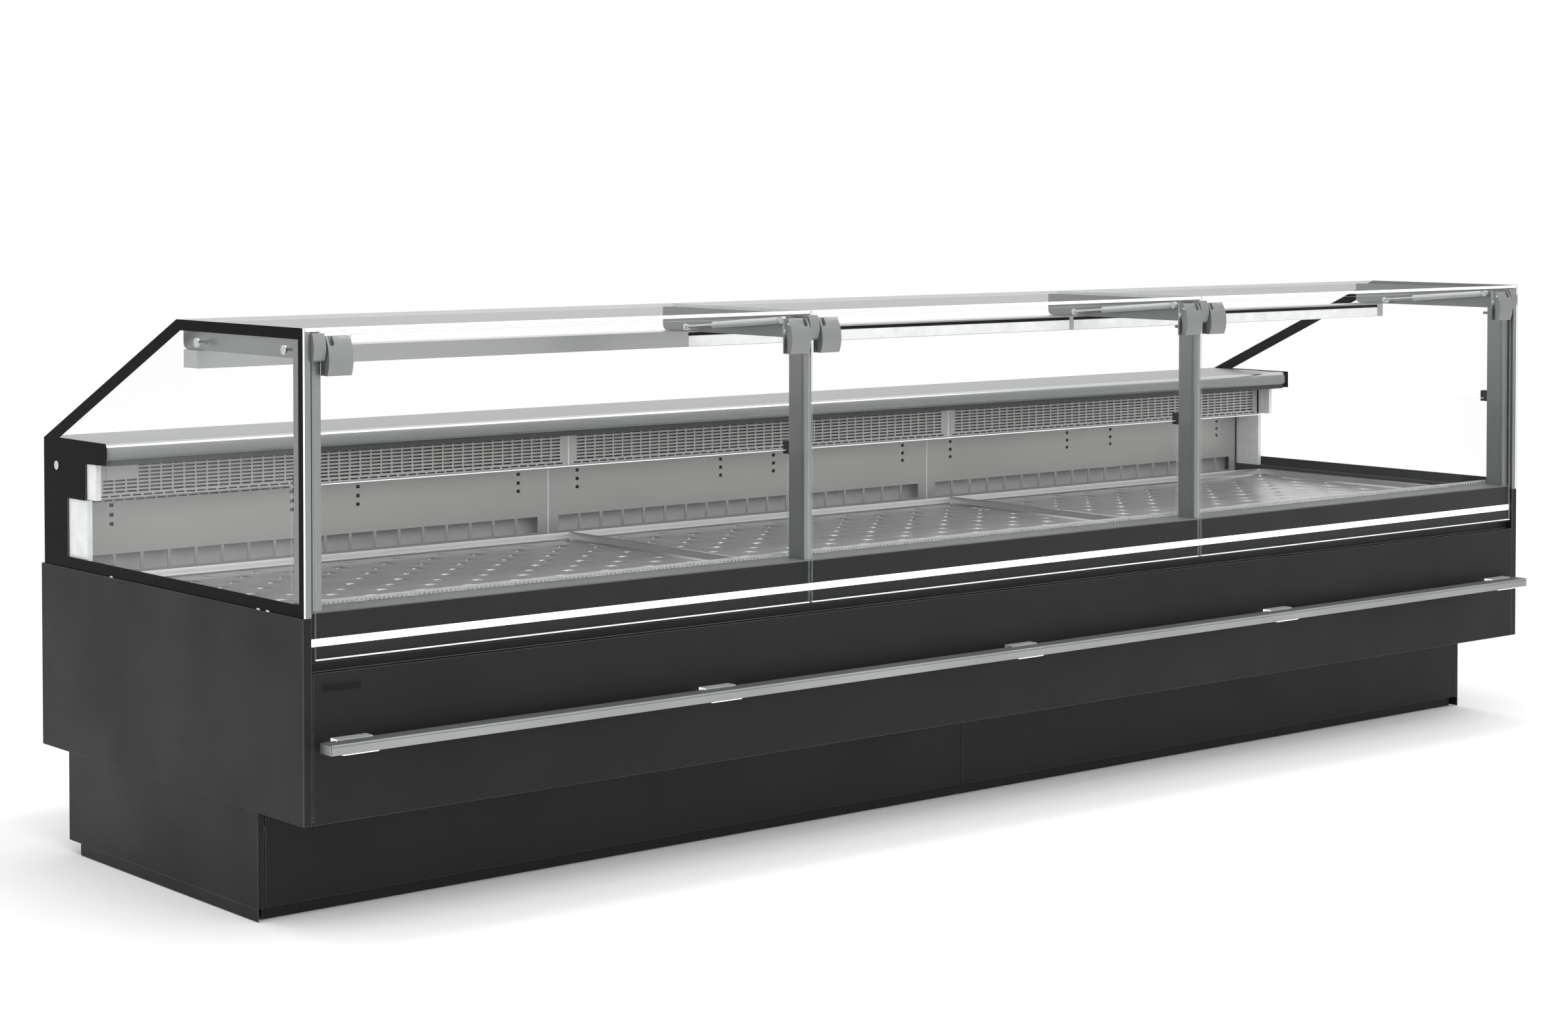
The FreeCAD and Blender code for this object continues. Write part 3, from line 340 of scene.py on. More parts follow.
def waste_pipe_plastic():
    """Grey extruded polypropylene waste pipe."""
    made, tree, shader = finish_material("waste_pipe_plastic", "#5E6062", Roughness=0.4)
    spread_between(tree, pattern(tree, 60.0, 3.0), 0.34, 0.48, shader.inputs["Roughness"])
    return made


POWDER = powder_coated_steel("powder_coated_steel", "#151516", "#181819")
# Lighter grey of the panels' eased edges: a painted highlight
POWDER_EDGE_HIGHLIGHT = powder_coated_steel("powder_coated_painted_edge_highlight", "#3A3A3B", "#444446")
ALUMINIUM = anodised_aluminium()
DARK_ALUMINIUM = dark_aluminium()
BEAM = lacquered_beam()
SILVER = silver_lacquer()
WORKTOP = worktop_steel()
UPRIGHT = upright_aluminium()
ZINC = cast_zinc()
STAINLESS = brushed_stainless()
DISPLAY = coated_display_steel("coated_display_steel", "#AEAEAC", "#B8B8B6")
# Dark grey of the sheets behind the duct slots: painted shade
SLOT_SHADE_GREY = coated_display_steel("coated_steel_painted_slot_shade", "#565755", "#5E5F5D")
GLASS = float_glass("float_glass", "#E4E8E7", clear=0.004, mirror=0.9, metallic=1.0, gloss=0.5)
# The top pane's grey is a flat tone with no gloss, faded in as the view grazes: a painted reflection
TOP_GLASS_REFLECTION = float_glass("float_glass_painted_grey_reflection", "#6A6C6B", clear=0.03, mirror=0.45, metallic=0.0, gloss=0.0)
# Flat opaque white on the rims that face one way and a strip beside them: a painted highlight
RIM_HIGHLIGHT = ground_glass_edge("glass_rim_painted_highlight", "#EEF6F3", "#FFFFFF", alpha=1.0)
SOFT_EDGE = ground_glass_edge("ground_glass_edge", "#A9B4B0", "#C3CCC9", alpha=0.3)
INK = fired_black_ink()
BLACK_PLASTIC = moulded_black()
GREY_PLASTIC = moulded_grey()
FROSTED = frosted_plastic("frosted_plastic", "#E2E4E4", "#F2F3F3", painted_glow=0.0)
# The bumper brackets are one milky plastic in two copies: a pale one that glows as painted light, and a grey
# one as painted shade
LIT_JAW_GLOW = frosted_plastic("frosted_plastic_painted_glow", "#EEEFEF", "#FAFAFA", painted_glow=0.55)
SHADED_JAW = frosted_plastic("frosted_plastic_painted_shade", "#A4A6A5", "#B2B4B3", painted_glow=0.0)
OPAL = opal_diffuser()
GALVANISED = galvanised_steel()
LINER = white_liner()
STEEL = polished_steel()
FINS = coil_fins()
COPPER = drawn_copper()
WASTE = waste_pipe_plastic()
# Black strips in the gaps along the canopy, the end panes and the wall's end: painted shade for their shadow
# lines
SHADOW_GAP_BLACK = rubber_seal("black_painted_shadow_gap", "#0A0A0A")
GREY_RUBBER = rubber_seal("grey_rubber_seal", "#4A4C4B")
SMOKED = smoked_window()


# ---------------------------------------------------------------- making pieces
def link_piece(name, mesh, materials, body):
    """Puts a finished mesh in the scene as a piece that rides on a body."""
    piece = bpy.data.objects.new(name, mesh)
    SCENE.collection.objects.link(piece)
    for material in materials:
        mesh.materials.append(material)
    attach(piece, body)
    return piece


def smooth(mesh, angle=35):
    """Smooth shading that stays crisp over sharp edges."""
    mesh.polygons.foreach_set("use_smooth", [True] * len(mesh.polygons))
    mesh.set_sharp_from_angle(angle=math.radians(angle))


def clean_copy(node):
    """The CAD node's own shape with its flat faces whole again, ready for mesh work."""
    bm = bmesh.new()
    bm.from_mesh(frame["nodes"][node].data)
    bmesh.ops.remove_doubles(bm, verts=bm.verts, dist=1e-6)
    bmesh.ops.dissolve_limit(bm, angle_limit=math.radians(0.3), verts=bm.verts, edges=bm.edges)
    return bm


def ease(piece, radius_mm, edge_highlight=None):
    """Rounds a piece's sharp edges, and paints them a lighter finish as a highlight if one is given."""
    bevel = piece.modifiers.new("eased edges", "BEVEL")
    if edge_highlight:
        piece.data.materials.append(edge_highlight)
        bevel.material = 1
    bevel.width = radius_mm * MM
    bevel.segments = 2
    bevel.limit_method = "ANGLE"
    bevel.angle_limit = math.radians(35)
    bevel.harden_normals = True


def made_piece(name, bm, materials, body, ease_mm=0.0):
    """Turns finished mesh work into a piece, with its edges eased if a radius is given."""
    bmesh.ops.recalc_face_normals(bm, faces=bm.faces)
    mesh = bpy.data.meshes.new(name)
    bm.to_mesh(mesh)
    bm.free()
    smooth(mesh)
    piece = link_piece(name, mesh, materials, body)
    if ease_mm:
        ease(piece, ease_mm)
    return piece


def eased(node, radius_mm, material, edge_highlight=None):
    """Stands for a CAD node with the same shape, its sharp edges eased to a small radius."""
    piece = made_piece(node + "_eased", clean_copy(node), [material], BODY_OF[node])
    ease(piece, radius_mm, edge_highlight)
    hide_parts(node)
    return piece


def second_finish(piece, material, chosen):
    """Gives the faces that a test picks a finish of their own."""
    piece.data.materials.append(material)
    for face in piece.data.polygons:
        if chosen(face):
            face.material_index = len(piece.data.materials) - 1


def pane(node, thin_axis, glass, bright, strip_mm=0.0):
    """Stands for a glass node. The rim facing one way is painted bright white as a highlight, with a strip of
    the face beside it.
    """
    bm = clean_copy(node)
    low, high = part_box(node)
    if strip_mm:
        edge = low.z + strip_mm * MM if bright.z < 0 else high.z - strip_mm * MM
        everything = bm.verts[:] + bm.edges[:] + bm.faces[:]
        bmesh.ops.bisect_plane(bm, geom=everything, plane_co=(0, 0, edge), plane_no=UP)
    for face in bm.faces:
        if strip_mm and (face.calc_center_median().z - edge) * bright.z > 0:
            face.material_index = 1
        elif abs(face.normal[thin_axis]) > 0.9:
            face.material_index = 0
        else:
            face.material_index = 1 if face.normal.dot(bright) > 0.5 else 2
    mesh = bpy.data.meshes.new(node + "_pane")
    bm.to_mesh(mesh)
    bm.free()
    piece = link_piece(node + "_pane", mesh, [glass, RIM_HIGHLIGHT, SOFT_EDGE], BODY_OF[node])
    bevel = piece.modifiers.new("arris", "BEVEL")
    bevel.width = 0.6 * MM
    bevel.segments = 1
    bevel.limit_method = "ANGLE"
    bevel.material = 2
    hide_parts(node)


def dress(node, material):
    """Gives a CAD node its finish."""
    made = frame["nodes"][node]
    made.data.materials.clear()
    made.data.materials.append(material)


def solids(node):
    """Lowest and highest corner of each separate solid of a CAD node, from left to right."""
    bm = clean_copy(node)
    waiting, found = set(bm.verts), []
    while waiting:
        island, border = [], [waiting.pop()]
        while border:
            vert = border.pop()
            island.append(vert.co.copy())
            for edge in vert.link_edges:
                other = edge.other_vert(vert)
                if other in waiting:
                    waiting.remove(other)
                    border.append(other)
        found.append(tuple(Vector(pick(p[i] for p in island) for i in range(3)) for pick in (min, max)))
    bm.free()
    return sorted(found, key=lambda corners: corners[0].x)


def push(bm, loop, along):
    """Closed solid from a flat loop of points pushed along a vector."""
    near = [bm.verts.new(p) for p in loop]
    far = [bm.verts.new(p + along) for p in loop]
    bm.faces.new(near)
    bm.faces.new(far[::-1])
    for i, vert in enumerate(near):
        bm.faces.new((near[i - 1], far[i - 1], far[i], vert))


def block(bm, across, deep, tall):
    """Closed box over three spans, each a lowest and a highest value."""
    (x0, x1), (y0, y1), (z0, z1) = across, deep, tall
    foot = [Vector((x0, y0, z0)), Vector((x1, y0, z0)), Vector((x1, y1, z0)), Vector((x0, y1, z0))]
    push(bm, foot, UP * (z1 - z0))


def rounded_loop(centre, across, up, width, height, radius):
    """Points round a rectangle with rounded corners, in the plane of two unit vectors."""
    steps, points = 5, []
    for corner, (right, top) in enumerate(((1, 1), (-1, 1), (-1, -1), (1, -1))):
        for step in range(steps + 1):
            angle = math.pi / 2 * (corner + step / steps)
            a = right * (width / 2 - radius) + radius * math.cos(angle)
            b = top * (height / 2 - radius) + radius * math.sin(angle)
            points.append(centre + across * a + up * b)
    return points


def around(centre, first, second, radius, sides):
    """Points of a circle in the plane of two unit vectors."""
    turns = [2 * math.pi * k / sides for k in range(sides)]
    return [centre + (first * math.cos(t) + second * math.sin(t)) * radius for t in turns]


def in_mm(pairs):
    """Pairs of millimetres as pairs of metres."""
    return [(a * MM, b * MM) for a, b in pairs]


def turned(bm, profile, origin, axis, sides=20):
    """Closed solid of revolution from (radius, distance along the axis) pairs, ends on the axis."""
    first = axis.orthogonal().normalized()
    second = axis.cross(first)
    rings = []
    for radius, along in profile:
        centre = origin + axis * along
        points = around(centre, first, second, radius, sides) if radius else [centre]
        rings.append([bm.verts.new(p) for p in points])
    for low, high in zip(rings, rings[1:]):
        for i in range(sides):
            corners = (low[i - 1] if len(low) > 1 else low[0], low[i] if len(low) > 1 else None,
                       high[i] if len(high) > 1 else high[0], high[i - 1] if len(high) > 1 else None)
            bm.faces.new([c for c in corners if c])


def screw(bm, place, axis, radius):
    """Pan head with a round socket, sunk a little into what it holds."""
    shape = ((0, 0.15), (0.4, 0.15), (0.42, 0.58), (0.7, 0.52), (0.92, 0.3), (1, 0.0), (1, -0.1), (0, -0.1))
    turned(bm, [(r * radius, h * radius) for r, h in shape], place, axis)


def screws(name, places, axis, radius_mm, body="case"):
    """One piece of like screws at several places."""
    bm = bmesh.new()
    for place in places:
        screw(bm, place, axis, radius_mm * MM)
    made_piece(name, bm, [STEEL], body)


def pipe(bm, path, radius, sides=10):
    """Round tube along a list of points, with flat ends. The path is closed if it ends where it starts."""
    closed = (path[0] - path[-1]).length < 1e-6
    points = path[:-1] if closed else path
    rings, side = [], None
    for i, point in enumerate(points):
        before = points[i - 1] if i or closed else point
        after = points[(i + 1) % len(points)] if i + 1 < len(points) or closed else point
        heading = (after - before).normalized()
        side = heading.orthogonal() if side is None else side - heading * side.dot(heading)
        side = side.normalized()
        rings.append([bm.verts.new(p) for p in around(point, side, heading.cross(side), radius, sides)])
    pairs = list(zip(rings, rings[1:])) + ([(rings[-1], rings[0])] if closed else [])
    for low, high in pairs:
        for k in range(sides):
            bm.faces.new((low[k - 1], low[k], high[k], high[k - 1]))
    if not closed:
        bm.faces.new(rings[0])
        bm.faces.new(rings[-1][::-1])


# ---------------------------------------------------------------- cabinet
def on_nose_highlight(face):
    """Whether a face of the worktop is on the upper round of its nose, which is given polished steel as a
    painted highlight.
    """
    return 0.5 < face.normal.z < 0.985 and face.normal.y < 0


# The eased edges of the black panels take the lighter grey as a painted highlight
for name in ("side_panels", "base_side_plates", "base_panels", "kick_boards", "front_panel", "front_fascia"):
    eased(name, 1.0, POWDER, POWDER_EDGE_HIGHLIGHT)
dress("rear_panel", POWDER)
worktop = eased("worktop", 1.0, WORKTOP)
# The nose's upper round in polished steel is a painted highlight line
second_finish(worktop, STEEL, on_nose_highlight)
eased("front_sill", 0.8, DARK_ALUMINIUM)
dress("front_air_grille", FROSTED)
dress("air_duct_grilles", DISPLAY)
dress("air_duct_shelves", DISPLAY)
dress("rear_wall_panels", DISPLAY)
dress("worktop_seal", GREY_RUBBER)
eased("rear_corner_blocks", 1.0, FROSTED)
dress("insulated_tank", LINER)
dress("drain_pipe", WASTE)
dress("base_frame", GALVANISED)
dress("levelling_feet", BLACK_PLASTIC)
dress("front_light_strip", OPAL)
dress("canopy_light", OPAL)
eased("switch_plate", 0.6, BLACK_PLASTIC)
eased("light_switch_rocker", 0.4, BLACK_PLASTIC)
dress("deck_bars", STAINLESS)
dress("evaporator_coils", FINS)
dress("fan_plate", GALVANISED)
dress("fan_motors", BLACK_PLASTIC)

# ---------------------------------------------------------------- glazing
eased("glass_posts", 0.8, UPRIGHT)
eased("canopy_arms", 0.8, UPRIGHT)
eased("canopy_beam", 0.8, BEAM)
eased("guard_clips", 0.6, BLACK_PLASTIC)
eased("end_trims", 0.6, UPRIGHT)
dress("end_glass_borders", INK)
eased("end_glass_studs", 0.4, STEEL)
eased("hinge_lugs", 1.0, ZINC)
dress("hinge_and_strut_pins", STEEL)
pane("top_glass", 2, TOP_GLASS_REFLECTION, -BACK)
pane("guard_glass", 1, GLASS, UP, 1.6)
pane("end_glass", 0, GLASS, -BACK)
for bay in BAYS:
    pane("front_glass_" + bay, 1, GLASS, -UP, 2.2)
    eased("glass_clamps_" + bay, 1.0, ZINC)
    dress("strut_tubes_" + bay, SILVER)
    dress("strut_rods_" + bay, STEEL)
    dress("fan_blades_" + bay, GREY_PLASTIC)

# ---------------------------------------------------------------- bumper
rail = eased("bumper_rail", 1.5, ALUMINIUM)
# Faces that look straight up take the darker finish
second_finish(rail, DARK_ALUMINIUM, lambda face: face.normal.z > 0.9)
eased("bumper_end_caps", 2.0, ALUMINIUM)
# The brackets' faces below the rail's middle take the glowing pale copy as painted light, the rest the grey
# copy as painted shade
brackets = eased("bumper_brackets", 0.6, SHADED_JAW)
rail_middle = (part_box("bumper_rail")[0].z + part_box("bumper_rail")[1].z) / 2
second_finish(brackets, LIT_JAW_GLOW, lambda face: face.center.z < rail_middle)


# ---------------------------------------------------------------- hinges and struts
JOINT_AT = {j["name"]: Vector(j["pos_m"]) for j in RECORD["behaviour"]["joints"] if "pos_m" in j}
LUGS = solids("hinge_lugs")


def clamp_grips(bay):
    """Toothed rubber in front of the glass and behind it, standing out of both ends of a bay's clamps."""
    reach, thick, clearance = 1.4 * MM, 2.6 * MM, 0.2 * MM
    teeth, tooth, pitch, lowest = 10, 1.7 * MM, 3.0 * MM, 2 * MM
    glass_low, glass_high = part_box("front_glass_" + bay)
    bm = bmesh.new()
    for low, high in solids("glass_clamps_" + bay):
        for across in ((low.x - reach, low.x), (high.x, high.x + reach)):
            for front in (glass_low.y - clearance - thick, glass_high.y + clearance):
                for i in range(teeth):
                    z = low.z + lowest + i * pitch
                    block(bm, across, (front, front + thick), (z, z + tooth))
    made_piece("clamp_grips_" + bay, bm, [GREY_RUBBER], "front_pane_" + bay, 0.3)


def clamp_screws(bay):
    """Round-headed screw in each clamp, in the end that faces the middle of the bay."""
    inset, drop, radius = 13 * MM, 14 * MM, 3.4 * MM
    bm = bmesh.new()
    for side, (low, high) in zip((1, -1), solids("glass_clamps_" + bay)):
        face = high.x if side > 0 else low.x
        screw(bm, Vector((face, low.y + inset, high.z - drop)), ALONG * side, radius)
    made_piece("clamp_screws_" + bay, bm, [STEEL], "front_pane_" + bay)


def lever_screws(bay):
    """Low screw through the end of each strut lever, on the side of the post."""
    boss_radius, sunk, radius = 8 * MM, 0.9 * MM, 2.4 * MM
    boss_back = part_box("glass_clamps_" + bay)[1].y
    bm = bmesh.new()
    for side, (low, high) in zip((-1, 1), solids("glass_clamps_" + bay)):
        face = low.x + sunk if side < 0 else high.x - sunk
        screw(bm, Vector((face, boss_back - boss_radius, high.z - boss_radius)), ALONG * side, radius)
    made_piece("lever_screws_" + bay, bm, [STEEL], "front_pane_" + bay)


def strut_collars(bay):
    """Rolled end of each gas strut's tube, with the wiper seal that its rod comes out of."""
    eye_radius = 8 * MM
    collar = in_mm(((0, -8), (7.9, -8), (8.1, -6), (8.1, -1), (7.2, 0.6), (5.2, 1.4), (0, 1.4)))
    bm = bmesh.new()
    for tube, rod in zip(solids("strut_tubes_" + bay), solids("strut_rods_" + bay)):
        middle = (tube[0].x + tube[1].x) / 2
        pin = Vector((middle, rod[1].y - eye_radius, JOINT_AT["strut_%s_swing" % bay].z))
        eye = Vector((middle, tube[0].y + eye_radius, tube[1].z - eye_radius))
        heading = (pin - eye).normalized()
        mouth = eye + heading * ((tube[1].y - eye.y) / heading.y)
        turned(bm, collar, mouth, heading)
    made_piece("strut_collars_" + bay, bm, [SILVER], "strut_tubes_" + bay)


# ---------------------------------------------------------------- canopy
def canopy_end_screws():
    """Two screws in each end plate of the canopy beam."""
    low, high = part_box("canopy_beam")
    height = (low.z + high.z) / 2
    for name, x, axis in (("left", low.x, -ALONG), ("right", high.x, ALONG)):
        places = [Vector((x, y, height)) for y in (low.y + 11 * MM, high.y - 5 * MM)]
        screws("canopy_end_screws_" + name, places, axis, 2.3)


def canopy_strips():
    """Dark strip along the beam's front, painted shade for the shadow gap there, and a pale strip under it, a
    painted reflection of the bright beam, over the middle and right bays.
    """
    low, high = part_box("canopy_beam")
    sunk = low.y + 0.4 * MM
    arms = solids("canopy_arms")
    painted_shadow_strips, painted_reflection_strips = bmesh.new(), bmesh.new()
    for left, right in zip(arms[1:], arms[2:]):
        across = (left[1].x, right[0].x)
        block(painted_shadow_strips, across, (low.y - 1.2 * MM, sunk), (high.z - 11 * MM, high.z - 4 * MM))
        block(painted_reflection_strips, across, (low.y - 1.0 * MM, sunk), (low.z + 1 * MM, high.z - 12 * MM))
    # The dark strip is painted shade, the pale strip a painted reflection
    made_piece("canopy_painted_shadow_strip", painted_shadow_strips, [SHADOW_GAP_BLACK], "case", 0.3)
    made_piece("canopy_painted_reflection_strips", painted_reflection_strips, [FROSTED], "case", 0.3)


def canopy_light_ribs():
    """Two clear ribs under the canopy light in each bay."""
    low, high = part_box("canopy_light")
    half, proud, sunk = 1 * MM, 1 * MM, 0.3 * MM
    arms = solids("canopy_arms")
    bm = bmesh.new()
    for left, right in zip(arms, arms[1:]):
        for share in (0.3, 0.7):
            y = low.y + (high.y - low.y) * share
            block(bm, (left[1].x, right[0].x), (y - half, y + half), (low.z - proud, low.z + sunk))
    made_piece("canopy_light_ribs", bm, [FROSTED], "case", 0.3)


# ---------------------------------------------------------------- front
def badge():
    """Blank gloss plate in a thin raised frame, near the front panel's left end."""
    low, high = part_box("front_panel")
    width, height, raised, border = 87 * MM, 17 * MM, 1.4 * MM, 3 * MM
    centre = Vector((low.x + 20 * MM + width / 2, low.y, high.z - 30 * MM))
    bm = bmesh.new()
    push(bm, rounded_loop(centre, ALONG, UP, width, height, 1.5 * MM), -BACK * raised)
    made_piece("badge_frame", bm, [BLACK_PLASTIC], "case", 0.4)
    bm = bmesh.new()
    inset = rounded_loop(centre - BACK * raised, ALONG, UP, width - border, height - border, 1.0 * MM)
    push(bm, inset, -BACK * 0.5 * MM)
    made_piece("badge_plate", bm, [SMOKED], "case", 0.2)


def bracket_screws():
    """Two screws under each rail bracket's lower jaw."""
    spread, inset = 24 * MM, 20 * MM
    places = []
    for low, high in solids("bumper_brackets"):
        middle = (low.x + high.x) / 2
        places += [Vector((middle + offset, low.y + inset, low.z)) for offset in (-spread, spread)]
    screws("bracket_screws", places, -UP, 3.0)


# ---------------------------------------------------------------- glazing details
def guard_knobs():
    """Round thumb screw on the side of each guard clip."""
    above_middle = 4 * MM
    knob = in_mm(((0, 0), (4.2, 0), (4.6, 1), (4.6, 4), (3.8, 5), (0, 5)))
    bm = bmesh.new()
    for low, high in solids("guard_clips"):
        centre = Vector(((low.x + high.x) / 2, high.y, (low.z + high.z) / 2 + above_middle))
        turned(bm, knob, centre, BACK, 14)
    made_piece("guard_knobs", bm, [STEEL], "case")


def end_glass_painted_shadow_strips():
    """Black rubber line between each end pane and the panel under it, painted shade for the shadow gap there,
    with three steel clips in it.
    """
    low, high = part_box("end_glass")
    proud, tucked, clip_thick = 1.2 * MM, 2 * MM, 0.8 * MM
    painted_shadow_strips, clips = bmesh.new(), bmesh.new()
    for side, face in ((-1, low.x), (1, high.x)):
        outer = face + side * proud
        across = sorted((outer, face - side * tucked))
        block(painted_shadow_strips, across, (low.y + 1 * MM, high.y - 1 * MM), (low.z - 0.6 * MM, low.z + 2.2 * MM))
        for behind_front in (133, 169, 783):
            centre = Vector((outer, depth(behind_front), low.z + 1.0 * MM))
            push(clips, rounded_loop(centre, BACK, UP, 13 * MM, 4 * MM, 1.9 * MM), ALONG * side * clip_thick)
    made_piece("end_glass_painted_shadow_strips", painted_shadow_strips, [SHADOW_GAP_BLACK], "case", 0.3)
    made_piece("end_glass_clips", clips, [STEEL], "case", 0.3)


# ---------------------------------------------------------------- staff side of the display
def duct_shade_sheets():
    """Dark grey sheet behind each duct panel's upper slots, whose tone is painted shade for the dim duct seen
    through them; the lowest row is left open.
    """
    margin, gap, thick = 6 * MM, 4 * MM, 1 * MM
    bm = bmesh.new()
    for low, high in solids("air_duct_grilles"):
        front, tall = high.y + gap, (low.z + 18 * MM, high.z - 1 * MM)
        block(bm, (low.x + margin, high.x - margin), (front, front + thick), tall)
    made_piece("air_duct_painted_shade_sheets", bm, [SLOT_SHADE_GREY], "case", 0.3)


def duct_plate():
    """Blank plate pressed into the left end of the air duct, where a service hole is closed."""
    low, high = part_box("air_duct_grilles")
    centre = Vector((low.x + 62 * MM, low.y, high.z - 22 * MM))
    bm = bmesh.new()
    push(bm, rounded_loop(centre, ALONG, UP, 62 * MM, 31 * MM, 5 * MM), -BACK * 1.2 * MM)
    made_piece("air_duct_plate", bm, [DISPLAY], "case", 0.5)


def wall_seam_highlights():
    """Strips in the joints between the duct panels and between the wall panels, pale as a painted highlight
    along each seam.
    """
    half, proud = 1.7 * MM, 0.8 * MM
    bm = bmesh.new()
    for node in ("air_duct_grilles", "rear_wall_panels"):
        panels = solids(node)
        for left, right in zip(panels, panels[1:]):
            middle = (left[1].x + right[0].x) / 2
            block(bm, (middle - half, middle + half), (left[0].y - proud, left[1].y), (left[0].z, left[1].z))
    made_piece("wall_seam_highlights", bm, [FROSTED], "case", 0.3)


def wall_end_painted_shadow_strips():
    """Black strips at the right end of the duct and of the rear wall, painted shade for the dark gap beside
    the corner block.
    """
    bm = bmesh.new()
    for node in ("air_duct_grilles", "rear_wall_panels"):
        low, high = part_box(node)
        block(bm, (high.x - 5 * MM, high.x + 0.6 * MM), (low.y - 1.2 * MM, high.y), (low.z + 2 * MM, high.z))
    made_piece("wall_end_painted_shadow_strips", bm, [SHADOW_GAP_BLACK], "case", 0.4)


# ---------------------------------------------------------------- deck
TRAY_COLUMNS, TRAY_ROWS = 20, 12
TRAY_RIM, TRAY_SHEET, TRAY_FLOOR = 16 * MM, 1.5 * MM, 2 * MM
TRAY_GROOVE, DRAIN_HOLE = 1.4 * MM, 4.5 * MM
# Inset from the tray's outline and height over its foot, from the floor's edge out over the rolled rim
TRAY_SIDE = in_mm(((8, 1.5), (3.5, 5), (2.0, 12), (2.0, 18), (1.2, 20.0), (0.2, 19.0), (0.0, 15.0)))


def floor_square(bm, left, front, width, length, near, far, drained):
    """One square of a tray's floor, from one height at its front to another at its back."""
    middle = (near + far) / 2
    rim = ((0, 0, near), (0.5, 0, near), (1, 0, near), (1, 0.5, middle),
           (1, 1, far), (0.5, 1, far), (0, 1, far), (0, 0.5, middle))
    outer = [bm.verts.new((left + u * width, front + v * length, z)) for u, v, z in rim]
    if not drained:
        bm.faces.new(outer)
        return
    centre = Vector((left + width / 2, front + length / 2, middle))
    turns = [math.radians(225 + 45 * k) for k in range(8)]
    hole = [bm.verts.new(centre + Vector((math.cos(t), math.sin(t), 0)) * DRAIN_HOLE) for t in turns]
    for k in range(8):
        bm.faces.new((outer[k - 1], outer[k], hole[k], hole[k - 1]))


def tray_side(bm, outlines):
    """Turned-up side and rim of a tray, through rectangles of left, right, front, back and height."""
    loops = []
    for left, right, front, back, z in outlines:
        corners = ((left, front), (right, front), (right, back), (left, back))
        loops.append([bm.verts.new((x, y, z)) for x, y in corners])
    for lower, upper in zip(loops, loops[1:]):
        for k in range(4):
            bm.faces.new((lower[k - 1], lower[k], upper[k], upper[k - 1]))


def tray(bay):
    """Pressed stainless tray: drained floor with stiffening grooves, turned-up sides and a rolled rim."""
    node = "deck_tray_" + bay
    low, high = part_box(node)
    left, right, front, back = low.x + TRAY_RIM, high.x - TRAY_RIM, low.y + TRAY_RIM, high.y - TRAY_RIM
    width, length = (right - left) / TRAY_COLUMNS, (back - front) / TRAY_ROWS
    floor = low.z + TRAY_FLOOR
    lines = [floor - (TRAY_GROOVE if j % 4 == 2 else 0) for j in range(TRAY_ROWS + 1)]
    bm = bmesh.new()
    for i in range(TRAY_COLUMNS):
        for j in range(TRAY_ROWS):
            floor_square(bm, left + i * width, front + j * length, width, length,
                         lines[j], lines[j + 1], (i + j) % 2 == 0)
    tray_side(bm, [(left, right, front, back, floor)]
              + [(low.x + inset, high.x - inset, low.y + inset, high.y - inset, low.z + up)
                 for inset, up in TRAY_SIDE])
    bmesh.ops.remove_doubles(bm, verts=bm.verts, dist=1e-6)
    piece = made_piece(node + "_pressed", bm, [STAINLESS], node)
    sheet = piece.modifiers.new("sheet", "SOLIDIFY")
    sheet.thickness = TRAY_SHEET
    sheet.offset = -1.0
    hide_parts(node)


# ---------------------------------------------------------------- cooling
def radial(degrees):
    """Unit vector at an angle in the plane of the fans."""
    return Vector((math.cos(math.radians(degrees)), 0, math.sin(math.radians(degrees))))


def fan_guards():
    """Wire guards in front of the fans: rings on four spokes that bend back to the plate."""
    stand, wire, spoke, bend = 66 * MM, 1.2 * MM, 1.6 * MM, 3 * MM
    radii = [r * MM for r in (30, 52, 74, 96, 112)]
    plate_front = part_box("fan_plate")[0].y
    bm = bmesh.new()
    for bay in BAYS:
        hub = JOINT_AT["fan_%s_spin" % bay]
        centre = Vector((hub.x, plate_front - stand, hub.z))
        for radius in radii:
            ring = [centre + radial(10 * i) * radius for i in range(36)]
            pipe(bm, ring + ring[:1], wire, 6)
        for angle in (0, 90, 180, 270):
            out = radial(angle)
            foot = centre + out * radii[-1]
            path = [centre + out * radii[0], foot - out * bend, foot + BACK * bend, foot + BACK * stand]
            pipe(bm, path, spoke, 6)
    made_piece("fan_guards", bm, [STEEL], "case")


def return_bend(centre, outward):
    """Path of a U of pipe that stands out of a coil's end plate, above and below a centre."""
    radius, straight, sunk = 22 * MM, 10 * MM, 2 * MM
    turns = [math.pi / 2 - math.pi * step / 8 for step in range(9)]
    curve = [centre + UP * radius * math.sin(t) + outward * (straight + radius * math.cos(t)) for t in turns]
    return [centre + UP * radius - outward * sunk] + curve + [centre - UP * radius - outward * sunk]


def coil_ends():
    """Steel end plates and copper return bends at both ends of each evaporator coil."""
    thick, margin, tube_radius = 3 * MM, 4 * MM, 5 * MM
    plates, bends = bmesh.new(), bmesh.new()
    for low, high in solids("evaporator_coils"):
        for side, x in ((-1, low.x), (1, high.x)):
            face = x + side * thick
            deep, tall = (low.y - margin, high.y + margin), (low.z + 1 * MM, high.z + 6 * MM)
            block(plates, sorted((x, face)), deep, tall)
            for share in (0.18, 0.50, 0.82):
                for above in (42 * MM, 130 * MM):
                    centre = Vector((face, low.y + (high.y - low.y) * share, low.z + above))
                    pipe(bends, return_bend(centre, ALONG * side), tube_radius)
    made_piece("coil_end_plates", plates, [GALVANISED], "case", 0.6)
    made_piece("coil_return_bends", bends, [COPPER], "case")


